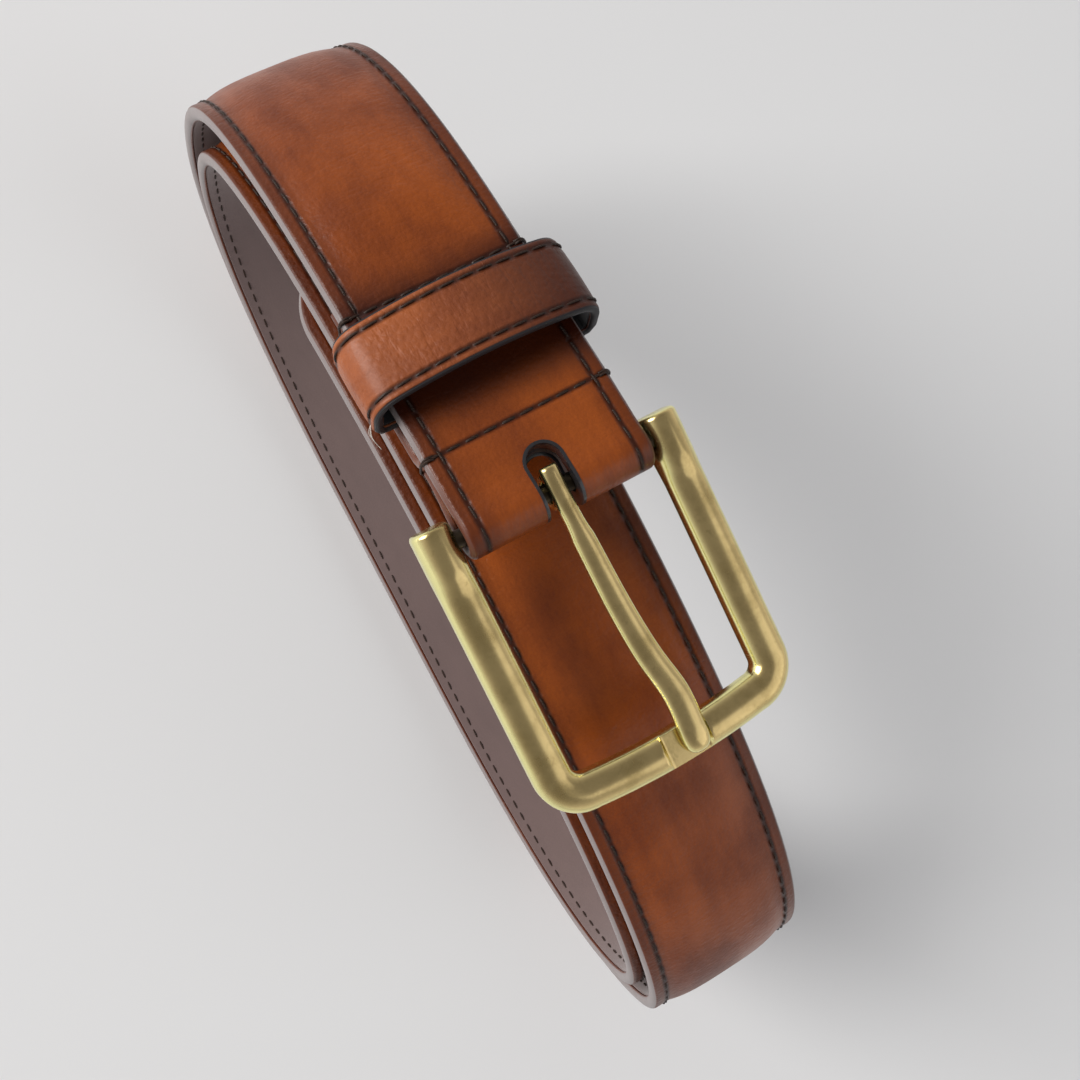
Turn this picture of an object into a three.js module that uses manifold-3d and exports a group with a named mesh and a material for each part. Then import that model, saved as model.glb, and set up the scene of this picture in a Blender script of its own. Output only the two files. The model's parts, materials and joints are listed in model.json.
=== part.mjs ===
// Leather dress belt, rolled up and standing on its lower run, with its buckle on top.
// Millimetres, +Z up. X runs along the coil, the buckle pointing to +X; Y runs across the strap.
// The origin is on the ground, under the middle of the coil.
import * as THREE from "three";
import { mergeVertices } from "three/addons/utils/BufferGeometryUtils.js";
import Module from "manifold-3d";

const wasm = await Module();
wasm.setup();

// ---------------------------------------------------------------- driving dimensions

// strap
const STRAP_WIDTH = 35;
const STRAP_LENGTH = 1060; // hinge bar to tip
const FACE = 1.4; // outer leather
const LINING = 1.4;
const PAD = 1.0; // padding between face and lining
const LAYER_GAP = 0.2; // glue line, drawn as a gap
const MARGIN = 4.2; // flat border, outside the padding
const CROWN_RAMP = 3.2; // width over which the face climbs onto the padding
const TIP_LENGTH = 16; // length of the rounded end
const TIP_BLUNT = 0.4; // how far the ellipse of the tip runs on past its last station
const CROWN_FADE = 12; // length over which the padding begins behind the doubled end
const PAD_SHORT = 8; // end of the padding to the start of the rounded end
const THREAD_SHORT = 1.6; // last stitch to the tip
const HOLE_DIAMETER = 5.6;
const HOLE_COUNT = 5;
const HOLE_PITCH = 25;
const FIRST_HOLE = 105; // tip to first hole
const THREAD = 0.6; // width
const THREAD_HEIGHT = 0.42;
const THREAD_GAP = 0.08;
const STITCH_INSET = 3.0; // strap edge to stitch row

// turned-back end round the hinge bar
const FACE_SKIVED = 1.2;
const LINING_SKIVED = 0.9;
const SKIVE_START = 4; // distance behind the bar where the leather starts to thicken
const SKIVE_END = 12;
const FRONT_STITCH = 12.6; // distance behind the bar
const TURN_BACK_END = 4; // rear stitch to the cut end of the turned-back layer
const PINCH = 1.5; // each stitch row to where the turned-back layer leaves the upper one
const POCKET_RAMP = 2.2; // length over which it goes down to the keeper's pocket
const LAYER_TOUCH = 0.3; // layers held together by a stitch row
const SLOT_WIDTH = 7.2;
const SLOT_BEHIND_BAR = 7.4;

// coil
const COIL_HALF_LENGTH = 105.7;
const COIL_SIDE_HEIGHT = 60.5; // height of the widest points
const COIL_ROUNDNESS = 0.62; // handle length of each quarter turn
const REST_LENGTH = 50; // flat part of the lower run
const SECOND_TOP = 112.5; // outer height of the second lap
const LAP_AIR = 2.0; // between one lap's lining and the next lap's face
const TAIL_DRIFT = 2.0; // the tail lies this far to the -Y side
const STEP = 7.5; // length of one facet along the strap

// place and slope of the buckle end
const BAR_X = -0.8;
const BAR_LIFT = 17.3; // bar's axis above the second lap
const END_SLOPE = 14.3; // degrees, the doubled end rises towards the bar
const BUCKLE_DROOP = 7.2; // degrees, the buckle falls away from the bar

// buckle
const BAR_RADIUS = 1.6;
const BAR_CLEARANCE = 0.4; // bar to lining
const PIVOT_GAP = 0.3; // bar to prong eye and bar to lug
const LUG_SIDE_GAP = 0.7; // strap edge to lug
const BUCKLE_REACH = 51.5; // bar axis to the front of the frame
const RAIL_WIDTH = 6.8;
const RAIL_HEIGHT = 4.8;
const RAIL_CREST = 0.48; // share of the height that lies above the bar's axis
const RAIL_CHAMFER = 0.7; // height of the lower edges' chamfer
const LUG_HEIGHT = 6.6;
const LUG_BEHIND_BAR = 3.7;
const LUG_LENGTH = 9; // where the lug has come down to the rail's height
const LUG_HOLE_DEPTH = 4.6;
const INNER_CORNER = 1.8;
const FRONT_BOW = 1.0;
const NOTCH_WIDTH = 9;
const NOTCH_DEPTH = 1.3;
const NOTCH_Y = 1.3;

// prong
const EYE_WALL = 1.7;
const EYE_WIDTH = 3.6;
const PRONG_TAIL = 4.2; // how far the squared root reaches behind the bar
const PRONG_ROOT_WIDTH = 3.2;
const PRONG_TIP_WIDTH = 4.9;
const PRONG_HEIGHT = 2.6;
const PRONG_SAG = 0.7;
const PRONG_TIP_DROP = 1.4;
const PRONG_LEAN = 2.6; // the tip lies this far to the +Y side
const PRONG_SHORT = 1.2; // front of the frame to the tip
const PRONG_NOSE = 1.0; // length of the tip's rounding

// keeper
const KEEPER_WIDTH = 15;
const KEEPER_FACE = 1.1;
const KEEPER_LINING = 0.8;
const KEEPER_SIDE_GAP = 1.9; // strap edge to keeper
const KEEPER_FLOOR_GAP = 0.35; // upper layer to keeper, and keeper to turned-back layer
const KEEPER_ROOM = 6.3; // strap to the middle of the keeper, for the tail
const KEEPER_CORNER = 3.5;
const KEEPER_CORNER_SWEEP = 76; // degrees of the corner before the top begins
const KEEPER_FLOOR_CORNER = 0.6;
const KEEPER_TRAVEL = 5.0;
const KEEPER_END_GAP = 0.3; // keeper's edge to the end of its pocket
const KEEPER_STITCH_INSET = 1.8;
const STAPLE_LENGTH = 9;
const STAPLE_WIRE = 0.6;

// ---------------------------------------------------------------- derived sizes

const EDGE_THICKNESS = LINING + LAYER_GAP + FACE;
const CROWN = PAD + LAYER_GAP;
const STRAP_THICKNESS = EDGE_THICKNESS + CROWN;
const HALF_WIDTH = STRAP_WIDTH / 2;
const LAP_PITCH = STRAP_THICKNESS + LAP_AIR; // outer face of one lap to the next
const BAR_Z = SECOND_TOP + BAR_LIFT;
const BUCKLE_WIDTH = STRAP_WIDTH + 2 * (LUG_SIDE_GAP + RAIL_WIDTH);
const CORNER_RADIUS = INNER_CORNER + RAIL_WIDTH; // outer
const FOLD_RADIUS = BAR_RADIUS + BAR_CLEARANCE;
const SKIVED_THICKNESS = LINING_SKIVED + LAYER_GAP + FACE_SKIVED;
const KEEPER_THICKNESS = KEEPER_LINING + LAYER_GAP + KEEPER_FACE;
const POCKET_DEPTH = KEEPER_THICKNESS + 2 * KEEPER_FLOOR_GAP;
const POCKET_START = FRONT_STITCH + PINCH + POCKET_RAMP;
const POCKET_END = POCKET_START + KEEPER_WIDTH + KEEPER_TRAVEL + 2 * KEEPER_END_GAP;
const REAR_STITCH = POCKET_END + POCKET_RAMP + PINCH;
const TURN_BACK = REAR_STITCH + TURN_BACK_END;
const KEEPER_CENTRE = POCKET_END - KEEPER_END_GAP - KEEPER_WIDTH / 2;
const CROWN_START = TURN_BACK;
const CROWN_END = TURN_BACK + CROWN_FADE;
const TIP_START = STRAP_LENGTH - TIP_LENGTH;
const PAD_END = TIP_START - PAD_SHORT;
const SLOPE = THREE.MathUtils.degToRad(END_SLOPE);

const clamp01 = (t) => Math.min(1, Math.max(0, t));
const ramp = (s, from, to) => clamp01((s - from) / (to - from));

// ---------------------------------------------------------------- solids and meshes

const colours = {
  tan: { color: 0x8a4824, roughness: 0.42, metalness: 0 },
  lining: { color: 0x6d5a58, roughness: 0.75, metalness: 0 },
  felt: { color: 0x4a4038, roughness: 0.95, metalness: 0 },
  thread: { color: 0x1f1512, roughness: 0.8, metalness: 0 },
  brass: { color: 0x8d7f4e, roughness: 0.34, metalness: 1 },
  steel: { color: 0xb8b8b4, roughness: 0.3, metalness: 1 },
};

function toSolid(geometry) {
  const bare = geometry.clone();
  bare.deleteAttribute("normal");
  bare.deleteAttribute("uv");
  const merged = mergeVertices(bare, 1e-4);
  return new wasm.Manifold(
    new wasm.Mesh({
      numProp: 3,
      vertProperties: new Float32Array(merged.attributes.position.array),
      triVerts: new Uint32Array(merged.index.array),
    }),
  );
}

function toGeometry(solid) {
  const mesh = solid.getMesh();
  const geometry = new THREE.BufferGeometry();
  geometry.setAttribute("position", new THREE.Float32BufferAttribute(mesh.vertProperties, 3));
  geometry.setIndex(Array.from(mesh.triVerts));
  return geometry;
}

function cut(geometry, tools) {
  let solid = toSolid(geometry);
  for (const tool of tools) {
    solid = solid.subtract(toSolid(tool));
  }
  return toGeometry(solid);
}

function join(geometries) {
  let solid = toSolid(geometries[0]);
  for (const extra of geometries.slice(1)) {
    solid = solid.add(toSolid(extra));
  }
  return toGeometry(solid);
}

function named(name, geometry, colour) {
  geometry.computeVertexNormals();
  const mesh = new THREE.Mesh(geometry, new THREE.MeshStandardMaterial(colours[colour]));
  mesh.name = name;
  return mesh;
}

/** Closed skin through rings of equal length, with flat ends; outline is the end ring in 2D. */
function skin(rings, firstOutline, lastOutline) {
  const count = rings[0].length;
  const index = [];
  for (let i = 0; i < rings.length - 1; i += 1) {
    for (let j = 0; j < count; j += 1) {
      const a = i * count + j;
      const b = i * count + ((j + 1) % count);
      index.push(a, b, b + count, a, b + count, a + count);
    }
  }
  closeEnd(index, firstOutline, 0, !THREE.ShapeUtils.isClockWise(firstOutline));
  const last = (rings.length - 1) * count;
  closeEnd(index, lastOutline, last, THREE.ShapeUtils.isClockWise(lastOutline));
  const points = rings.flat();
  if (signedVolume(points, index) < 0) {
    index.reverse();
  }
  const geometry = new THREE.BufferGeometry().setFromPoints(points);
  geometry.setIndex(index);
  return geometry;
}

function closeEnd(index, outline, offset, flip) {
  for (const [a, b, c] of THREE.ShapeUtils.triangulateShape(outline, [])) {
    index.push(offset + a, offset + (flip ? c : b), offset + (flip ? b : c));
  }
}

function signedVolume(points, index) {
  let sum = 0;
  for (let i = 0; i < index.length; i += 3) {
    const [a, b, c] = [points[index[i]], points[index[i + 1]], points[index[i + 2]]];
    sum += a.dot(new THREE.Vector3().crossVectors(b, c));
  }
  return sum;
}

/** Prism along one axis of its own frame: the outline is in X and Z, the depth along Y, centred. */
function prism(shape, depth, segments = 8) {
  const geometry = new THREE.ExtrudeGeometry(shape, {
    depth,
    bevelEnabled: false,
    curveSegments: segments,
  });
  geometry.translate(0, 0, -depth / 2);
  geometry.rotateX(Math.PI / 2);
  return geometry;
}

// ---------------------------------------------------------------- the strap's route

// The route is the back of the lining. It is a list of stations from the end of the
// turned-back layer, round the bar, along the top and round the coil to the tip.
// Each station has its place, the distance s from the bar, and a normal to the face side.

const along = new THREE.Vector2(-Math.cos(SLOPE), -Math.sin(SLOPE)); // away from the bar
const outward = new THREE.Vector2(-Math.sin(SLOPE), Math.cos(SLOPE)); // from lining to face
const barPoint = new THREE.Vector2(BAR_X, BAR_Z);

/** Point behind the bar by s, and above the back of the upper lining by h. */
function endPoint(s, h) {
  return barPoint.clone().addScaledVector(along, s).addScaledVector(outward, FOLD_RADIUS + h);
}

function turnedBackStations() {
  const profile = [
    [TURN_BACK, LAYER_TOUCH],
    [REAR_STITCH - PINCH, LAYER_TOUCH],
    [POCKET_END, POCKET_DEPTH],
    [POCKET_START, POCKET_DEPTH],
    [FRONT_STITCH + PINCH, LAYER_TOUCH],
    [FRONT_STITCH - 1, LAYER_TOUCH],
    [FOLD_RADIUS, 2 * FOLD_RADIUS],
  ];
  return profile.map(([s, depth]) => ({ point: endPoint(s, -depth), s: -s }));
}

function foldStations() {
  const turns = 8;
  const stations = [];
  for (let i = 0; i <= turns; i += 1) {
    const angle = Math.PI * (i / turns);
    const s = -FOLD_RADIUS * Math.sin(angle);
    const h = -FOLD_RADIUS - FOLD_RADIUS * Math.cos(angle);
    stations.push({ point: endPoint(s, h), s: 0 });
  }
  return stations;
}

function upperStations() {
  const places = [SKIVE_START, SKIVE_END, CROWN_START, CROWN_START + 1];
  return places.map((s) => ({ point: endPoint(s, 0), s }));
}

function quarter(from, to, leavesAlongX) {
  const first = from.clone();
  const second = to.clone();
  if (leavesAlongX) {
    first.x += COIL_ROUNDNESS * (to.x - from.x);
    second.y -= COIL_ROUNDNESS * (to.y - from.y);
  } else {
    first.y += COIL_ROUNDNESS * (to.y - from.y);
    second.x -= COIL_ROUNDNESS * (to.x - from.x);
  }
  return new THREE.CubicBezierCurve(from, first, second, to);
}

/** The coil from the end of the doubled part inwards, at least as long as asked. */
function coilCurve(start, length) {
  const curve = new THREE.CurvePath();
  let here = start;
  for (let lap = 0; curve.curves.length === 0 || curve.getLength() < length; lap += 1) {
    const inset = lap * LAP_PITCH + STRAP_THICKNESS;
    const left = new THREE.Vector2(-COIL_HALF_LENGTH + inset, COIL_SIDE_HEIGHT);
    const right = new THREE.Vector2(COIL_HALF_LENGTH - inset, COIL_SIDE_HEIGHT);
    const restStart = new THREE.Vector2(-REST_LENGTH / 2, inset);
    const restEnd = new THREE.Vector2(REST_LENGTH / 2, inset);
    const top = new THREE.Vector2(0, SECOND_TOP - inset);
    if (lap === 0) {
      const first = here.clone().addScaledVector(along, COIL_ROUNDNESS * (here.x - left.x));
      const second = new THREE.Vector2(left.x, left.y + COIL_ROUNDNESS * (here.y - left.y));
      curve.add(new THREE.CubicBezierCurve(here, first, second, left));
    } else {
      curve.add(quarter(here, left, true));
    }
    curve.add(quarter(left, restStart, false));
    curve.add(new THREE.LineCurve(restStart, restEnd));
    curve.add(quarter(restEnd, right, true));
    curve.add(quarter(right, top, false));
    here = top;
  }
  return curve;
}

function coilStations() {
  const start = endPoint(CROWN_START + 1, 0);
  const startS = CROWN_START + 1;
  const length = STRAP_LENGTH - startS;
  const curve = coilCurve(start, length);
  const total = curve.getLength();
  const straight = length - TIP_LENGTH;
  const places = [];
  const steps = Math.round(straight / STEP);
  for (let i = 1; i <= steps; i += 1) {
    places.push((straight * i) / steps);
  }
  for (const share of [0.3, 0.55, 0.75, 0.9, 1]) {
    places.push(straight + TIP_LENGTH * share);
  }
  return places.map((place) => ({
    point: curve.getPointAt(place / total),
    s: startS + place,
  }));
}

function strapRoute() {
  const stations = [
    ...turnedBackStations(),
    ...foldStations(),
    ...upperStations(),
    ...coilStations(),
  ];
  const side = (a, b) => new THREE.Vector2(b.y - a.y, a.x - b.x).normalize();
  stations.forEach((station, i) => {
    const before = stations[Math.max(0, i - 1)].point;
    const after = stations[Math.min(stations.length - 1, i + 1)].point;
    const first = i > 0 ? side(before, station.point) : side(station.point, after);
    const second = i < stations.length - 1 ? side(station.point, after) : first;
    const normal = first.clone().add(second).normalize();
    station.normal = normal.divideScalar(normal.dot(first));
    station.drift = -TAIL_DRIFT * ramp(station.s, STRAP_LENGTH / 2, STRAP_LENGTH);
    station.half = halfWidthAt(station.s);
    station.face = FACE_SKIVED + (FACE - FACE_SKIVED) * ramp(station.s, SKIVE_START, SKIVE_END);
    station.lining =
      LINING_SKIVED + (LINING - LINING_SKIVED) * ramp(station.s, SKIVE_START, SKIVE_END);
    const fade = ramp(station.s, TIP_START, PAD_END);
    station.crown = CROWN * fade * ramp(station.s, CROWN_START, CROWN_END);
  });
  return stations;
}

/** Half the strap's width, which closes in an ellipse at the tip. */
function halfWidthAt(s) {
  const intoTip = clamp01((s - TIP_START) / (TIP_LENGTH + TIP_BLUNT));
  return HALF_WIDTH * Math.sqrt(1 - intoTip * intoTip);
}

const route = strapRoute();

/** A layer or thread that follows the route: outline(station) gives its section as [u, w]. */
function followRoute(stations, outline) {
  const outlines = stations.map((station) =>
    outline(station).map(([u, w]) => new THREE.Vector2(u, w)),
  );
  const rings = stations.map((station, i) =>
    outlines[i].map(
      (p) =>
        new THREE.Vector3(
          station.point.x + station.normal.x * p.y,
          station.drift + p.x,
          station.point.y + station.normal.y * p.y,
        ),
    ),
  );
  return skin(rings, outlines[0], outlines.at(-1));
}

/** Place and direction on the route at a distance from the bar. */
function routeAt(s) {
  const i = route.findIndex((station, k) => k > 0 && station.s >= s && route[k - 1].s < s);
  const [a, b] = [route[i - 1], route[i]];
  const t = (s - a.s) / (b.s - a.s);
  return {
    x: a.point.x + (b.point.x - a.point.x) * t,
    z: a.point.y + (b.point.y - a.point.y) * t,
    normal: new THREE.Vector2(b.point.y - a.point.y, a.point.x - b.point.x).normalize(),
    drift: a.drift + (b.drift - a.drift) * t,
  };
}

// ---------------------------------------------------------------- strap layers

const edgeTop = (station) => station.lining + LAYER_GAP + station.face;

function crownLine(station, base) {
  const flat = station.half * ((HALF_WIDTH - MARGIN) / HALF_WIDTH);
  const plateau = station.half * ((HALF_WIDTH - MARGIN - CROWN_RAMP) / HALF_WIDTH);
  return [
    [-station.half, base],
    [-flat, base],
    [-plateau, base + station.crown],
    [plateau, base + station.crown],
    [flat, base],
    [station.half, base],
  ];
}

function faceOutline(station) {
  const upper = crownLine(station, edgeTop(station));
  const lower = crownLine(station, station.lining + LAYER_GAP);
  return [...lower, ...upper.reverse()];
}

const liningOutline = (station) => [
  [-station.half, 0],
  [station.half, 0],
  [station.half, station.lining],
  [-station.half, station.lining],
];

function padOutline(station) {
  const top = station.half * ((HALF_WIDTH - MARGIN - CROWN_RAMP - LAYER_GAP) / HALF_WIDTH);
  const foot = top + PAD;
  const base = station.lining + LAYER_GAP / 2;
  const crest = station.lining + station.crown - LAYER_GAP / 2;
  return [
    [-foot, base],
    [foot, base],
    [top, crest],
    [-top, crest],
  ];
}

function holeCutters() {
  const cutters = [];
  for (let i = 0; i < HOLE_COUNT; i += 1) {
    const place = routeAt(STRAP_LENGTH - FIRST_HOLE - i * HOLE_PITCH);
    const hole = new THREE.CylinderGeometry(HOLE_DIAMETER / 2, HOLE_DIAMETER / 2, 12, 12);
    const direction = new THREE.Vector3(place.normal.x, 0, place.normal.y);
    const turn = new THREE.Quaternion().setFromUnitVectors(new THREE.Vector3(0, 1, 0), direction);
    hole.applyQuaternion(turn);
    hole.translate(place.x, place.drift, place.z);
    cutters.push(hole);
  }
  return cutters;
}

/** The opening for the prong: straight through the fold, rounded at its rear end. */
function slotCutter() {
  const r = SLOT_WIDTH / 2;
  const shape = new THREE.Shape();
  shape.moveTo(FOLD_RADIUS + 2 * SKIVED_THICKNESS, -r);
  shape.lineTo(FOLD_RADIUS + 2 * SKIVED_THICKNESS, r);
  shape.lineTo(-SLOT_BEHIND_BAR + r, r);
  shape.absarc(-SLOT_BEHIND_BAR + r, 0, r, Math.PI / 2, (3 * Math.PI) / 2, false);
  const depth = 4 * (FOLD_RADIUS + SKIVED_THICKNESS);
  const geometry = new THREE.ExtrudeGeometry(shape, {
    depth,
    bevelEnabled: false,
    curveSegments: 8,
  });
  geometry.translate(0, 0, -depth / 2);
  geometry.rotateY(-SLOPE);
  geometry.translate(BAR_X, 0, BAR_Z);
  return geometry;
}

const holes = holeCutters();
const slot = slotCutter();
const padded = route.filter((station) => station.s >= CROWN_END && station.s <= PAD_END);

const strapFace = cut(followRoute(route, faceOutline), [...holes, slot]);
const strapLining = cut(followRoute(route, liningOutline), [...holes, slot]);
const strapPad = cut(followRoute(padded, padOutline), holes);

// ---------------------------------------------------------------- edge stitching

function threadOutline(station, side, base, height) {
  const u = side * Math.max(THREAD, station.half - STITCH_INSET);
  return [
    [u - THREAD / 2, base],
    [u + THREAD / 2, base],
    [u, base + height],
  ];
}

const stitched = route.filter(
  (station, i) => i >= turnedBackStations().length + 6 && station.s <= STRAP_LENGTH - THREAD_SHORT,
);
const backStitched = route.filter(
  (station) => station.s > TURN_BACK && station.s <= STRAP_LENGTH - THREAD_SHORT,
);

const needleThread = (side) =>
  followRoute(stitched, (station) =>
    threadOutline(station, side, edgeTop(station) + THREAD_GAP, THREAD_HEIGHT),
  );
const bobbinThread = (side) =>
  followRoute(backStitched, (station) =>
    threadOutline(station, side, -THREAD_GAP, -THREAD_HEIGHT),
  );

// ---------------------------------------------------------------- rows across the doubled end

/** One row of thread that holds the two layers together and wraps over both edges. */
function crossStitch(s) {
  const inner = new THREE.Path();
  const outer = new THREE.Shape();
  const top = EDGE_THICKNESS + THREAD_HEIGHT + 2 * THREAD_GAP;
  const bottom = -LAYER_TOUCH - SKIVED_THICKNESS - THREAD_GAP;
  const side = HALF_WIDTH + THREAD_GAP;
  rectangle(outer, side + THREAD_HEIGHT, bottom - THREAD_HEIGHT, top + THREAD_HEIGHT);
  rectangle(inner, side, bottom, top);
  outer.holes.push(inner);
  const geometry = prism(outer, THREAD);
  return onDoubledEnd(geometry, s);
}

function rectangle(path, half, low, high) {
  path.moveTo(-half, low);
  path.lineTo(half, low);
  path.lineTo(half, high);
  path.lineTo(-half, high);
  path.closePath();
}

/** Turns a prism whose outline is across the strap and up, and sets it behind the bar by s. */
function onDoubledEnd(geometry, s) {
  geometry.rotateZ(Math.PI / 2);
  geometry.rotateY(-SLOPE);
  const place = endPoint(s, 0);
  geometry.translate(place.x, 0, place.y);
  return geometry;
}

// ---------------------------------------------------------------- keeper

const keeperHalf = HALF_WIDTH + KEEPER_SIDE_GAP;
const cornerSweep = THREE.MathUtils.degToRad(KEEPER_CORNER_SWEEP);
const cornerCentreU = keeperHalf - KEEPER_CORNER;
const domeExtra = cornerCentreU / Math.cos(cornerSweep); // dome radius beyond the corner's
const domeRise = domeExtra * (1 - Math.sin(cornerSweep));
const cornerCentreW = EDGE_THICKNESS + KEEPER_ROOM - KEEPER_CORNER - domeRise;
const domeCentreW = cornerCentreW - domeExtra * Math.sin(cornerSweep);
const floorCentreU = keeperHalf - KEEPER_FLOOR_CORNER;
const floorCentreW = -KEEPER_FLOOR_GAP + KEEPER_FLOOR_CORNER;

function arc(points, centreU, centreW, radius, from, to, steps) {
  for (let i = 0; i <= steps; i += 1) {
    const angle = from + ((to - from) * i) / steps;
    const u = centreU + radius * Math.cos(angle);
    const w = centreW + radius * Math.sin(angle);
    points.push(new THREE.Vector2(u, w));
  }
}

/** The keeper's side, top and side at a distance outside its inner face. */
function keeperArch(offset) {
  const points = [];
  const corner = KEEPER_CORNER + offset;
  arc(points, cornerCentreU, cornerCentreW, corner, 0, cornerSweep, 4);
  const dome = domeExtra + corner;
  arc(points, 0, domeCentreW, dome, cornerSweep + 0.04, Math.PI - cornerSweep - 0.04, 6);
  arc(points, -cornerCentreU, cornerCentreW, corner, Math.PI - cornerSweep, Math.PI, 4);
  return points;
}

function keeperLoop(offset) {
  const points = keeperArch(offset);
  const radius = KEEPER_FLOOR_CORNER + offset;
  arc(points, -floorCentreU, floorCentreW, radius, Math.PI, 1.5 * Math.PI, 2);
  arc(points, floorCentreU, floorCentreW, radius, 1.5 * Math.PI, 2 * Math.PI, 2);
  return points;
}

function keeperRing(from, to) {
  const shape = new THREE.Shape(keeperLoop(to));
  shape.holes.push(new THREE.Path(keeperLoop(from)));
  return onDoubledEnd(prism(shape, KEEPER_WIDTH), KEEPER_CENTRE);
}

function keeperStitch(s) {
  const from = KEEPER_THICKNESS + THREAD_GAP;
  const points = [...keeperArch(from + THREAD_HEIGHT), ...keeperArch(from).reverse()];
  return onDoubledEnd(prism(new THREE.Shape(points), THREAD), s);
}

function keeperStaple() {
  const shape = new THREE.Shape();
  const high = cornerCentreW;
  const right = keeperHalf - THREAD_GAP;
  shape.moveTo(right, high - STAPLE_WIRE);
  shape.lineTo(right, high);
  shape.lineTo(right - STAPLE_WIRE * 0.7, high - STAPLE_WIRE * 0.2);
  shape.lineTo(right - STAPLE_WIRE * 0.7, high - STAPLE_WIRE * 0.8);
  return onDoubledEnd(prism(shape, STAPLE_LENGTH), KEEPER_CENTRE);
}

// ---------------------------------------------------------------- buckle, in its own frame

// The buckle's frame has its origin on the bar's axis, +X to the front and +Z up.

const railCentre = BUCKLE_WIDTH / 2 - RAIL_WIDTH / 2;
const bend = CORNER_RADIUS - RAIL_WIDTH / 2;

/** Section of the frame, flat below and domed above: [out, up] for a width and a height. */
function railOutline(width, height) {
  const half = width / 2;
  const low = -height / 2;
  return [
    [-half, low + RAIL_CHAMFER],
    [-half + 0.5, low],
    [half - 0.5, low],
    [half, low + RAIL_CHAMFER],
    [half, height * 0.08],
    [half * 0.8, height * 0.33],
    [half * 0.4, height * RAIL_CREST],
    [-half * 0.4, height * RAIL_CREST],
    [-half * 0.8, height * 0.33],
    [-half, height * 0.08],
  ];
}

/** Centre line of the frame from one lug round the front to the other. */
function frameStations() {
  const side = [
    { x: -LUG_BEHIND_BAR, y: railCentre, height: LUG_HEIGHT * 0.8, width: RAIL_WIDTH * 0.86 },
    { x: -LUG_BEHIND_BAR + 0.8, y: railCentre, height: LUG_HEIGHT },
    { x: LUG_BEHIND_BAR, y: railCentre, height: LUG_HEIGHT },
    { x: LUG_LENGTH, y: railCentre, height: RAIL_HEIGHT },
  ];
  const frontX = BUCKLE_REACH - FRONT_BOW - RAIL_WIDTH / 2;
  const turns = 5;
  for (let i = 0; i <= turns; i += 1) {
    const angle = (Math.PI / 2) * (1 - i / turns);
    const x = frontX - bend + bend * Math.cos(angle);
    const y = railCentre - bend + bend * Math.sin(angle);
    side.push({ x, y, height: RAIL_HEIGHT });
  }
  const straight = railCentre - bend;
  side.push({ x: frontX + FRONT_BOW * 0.75, y: straight / 2, height: RAIL_HEIGHT });
  const middle = { x: frontX + FRONT_BOW, y: 0, height: RAIL_HEIGHT };
  const mirrored = side.map((place) => ({ ...place, y: -place.y })).reverse();
  return [...side, middle, ...mirrored];
}

function buckleFrame() {
  const stations = frameStations();
  const rings = stations.map((station, i) => {
    const before = stations[Math.max(0, i - 1)];
    const after = stations[Math.min(stations.length - 1, i + 1)];
    const tangent = new THREE.Vector2(after.x - before.x, after.y - before.y).normalize();
    const out = new THREE.Vector2(-tangent.y, tangent.x);
    const outline = railOutline(station.width ?? RAIL_WIDTH, station.height);
    return outline.map(
      ([u, w]) => new THREE.Vector3(station.x + out.x * u, station.y + out.y * u, w),
    );
  });
  const end = railOutline(RAIL_WIDTH, LUG_HEIGHT).map(([u, w]) => new THREE.Vector2(u, w));
  const body = skin(rings, end, end);
  return cut(body, [...lugHoles(), notch()]);
}

function lugHoles() {
  const inner = BUCKLE_WIDTH / 2 - RAIL_WIDTH;
  return [-1, 1].map((side) => {
    const radius = BAR_RADIUS + PIVOT_GAP;
    const hole = new THREE.CylinderGeometry(radius, radius, LUG_HOLE_DEPTH + 1, 12);
    hole.translate(0, side * (inner + (LUG_HOLE_DEPTH - 1) / 2), 0);
    return hole;
  });
}

function notch() {
  const tool = new THREE.BoxGeometry(2 * RAIL_WIDTH, NOTCH_WIDTH, RAIL_HEIGHT);
  const floor = RAIL_HEIGHT * RAIL_CREST - NOTCH_DEPTH;
  tool.translate(BUCKLE_REACH - RAIL_WIDTH / 2, NOTCH_Y, floor + RAIL_HEIGHT / 2);
  return tool;
}

function hingeBar() {
  const inner = BUCKLE_WIDTH / 2 - RAIL_WIDTH;
  const length = 2 * (inner + LUG_HOLE_DEPTH - PIVOT_GAP);
  return new THREE.CylinderGeometry(BAR_RADIUS, BAR_RADIUS, length, 12);
}

// ---------------------------------------------------------------- prong, in the buckle's frame

function prongEye() {
  const shape = new THREE.Shape();
  shape.absarc(0, 0, BAR_RADIUS + PIVOT_GAP + EYE_WALL, 0, 2 * Math.PI, false);
  const hole = new THREE.Path();
  hole.absarc(0, 0, BAR_RADIUS + PIVOT_GAP, 0, 2 * Math.PI, false);
  shape.holes.push(hole);
  return prism(shape, EYE_WIDTH, 8);
}

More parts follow.
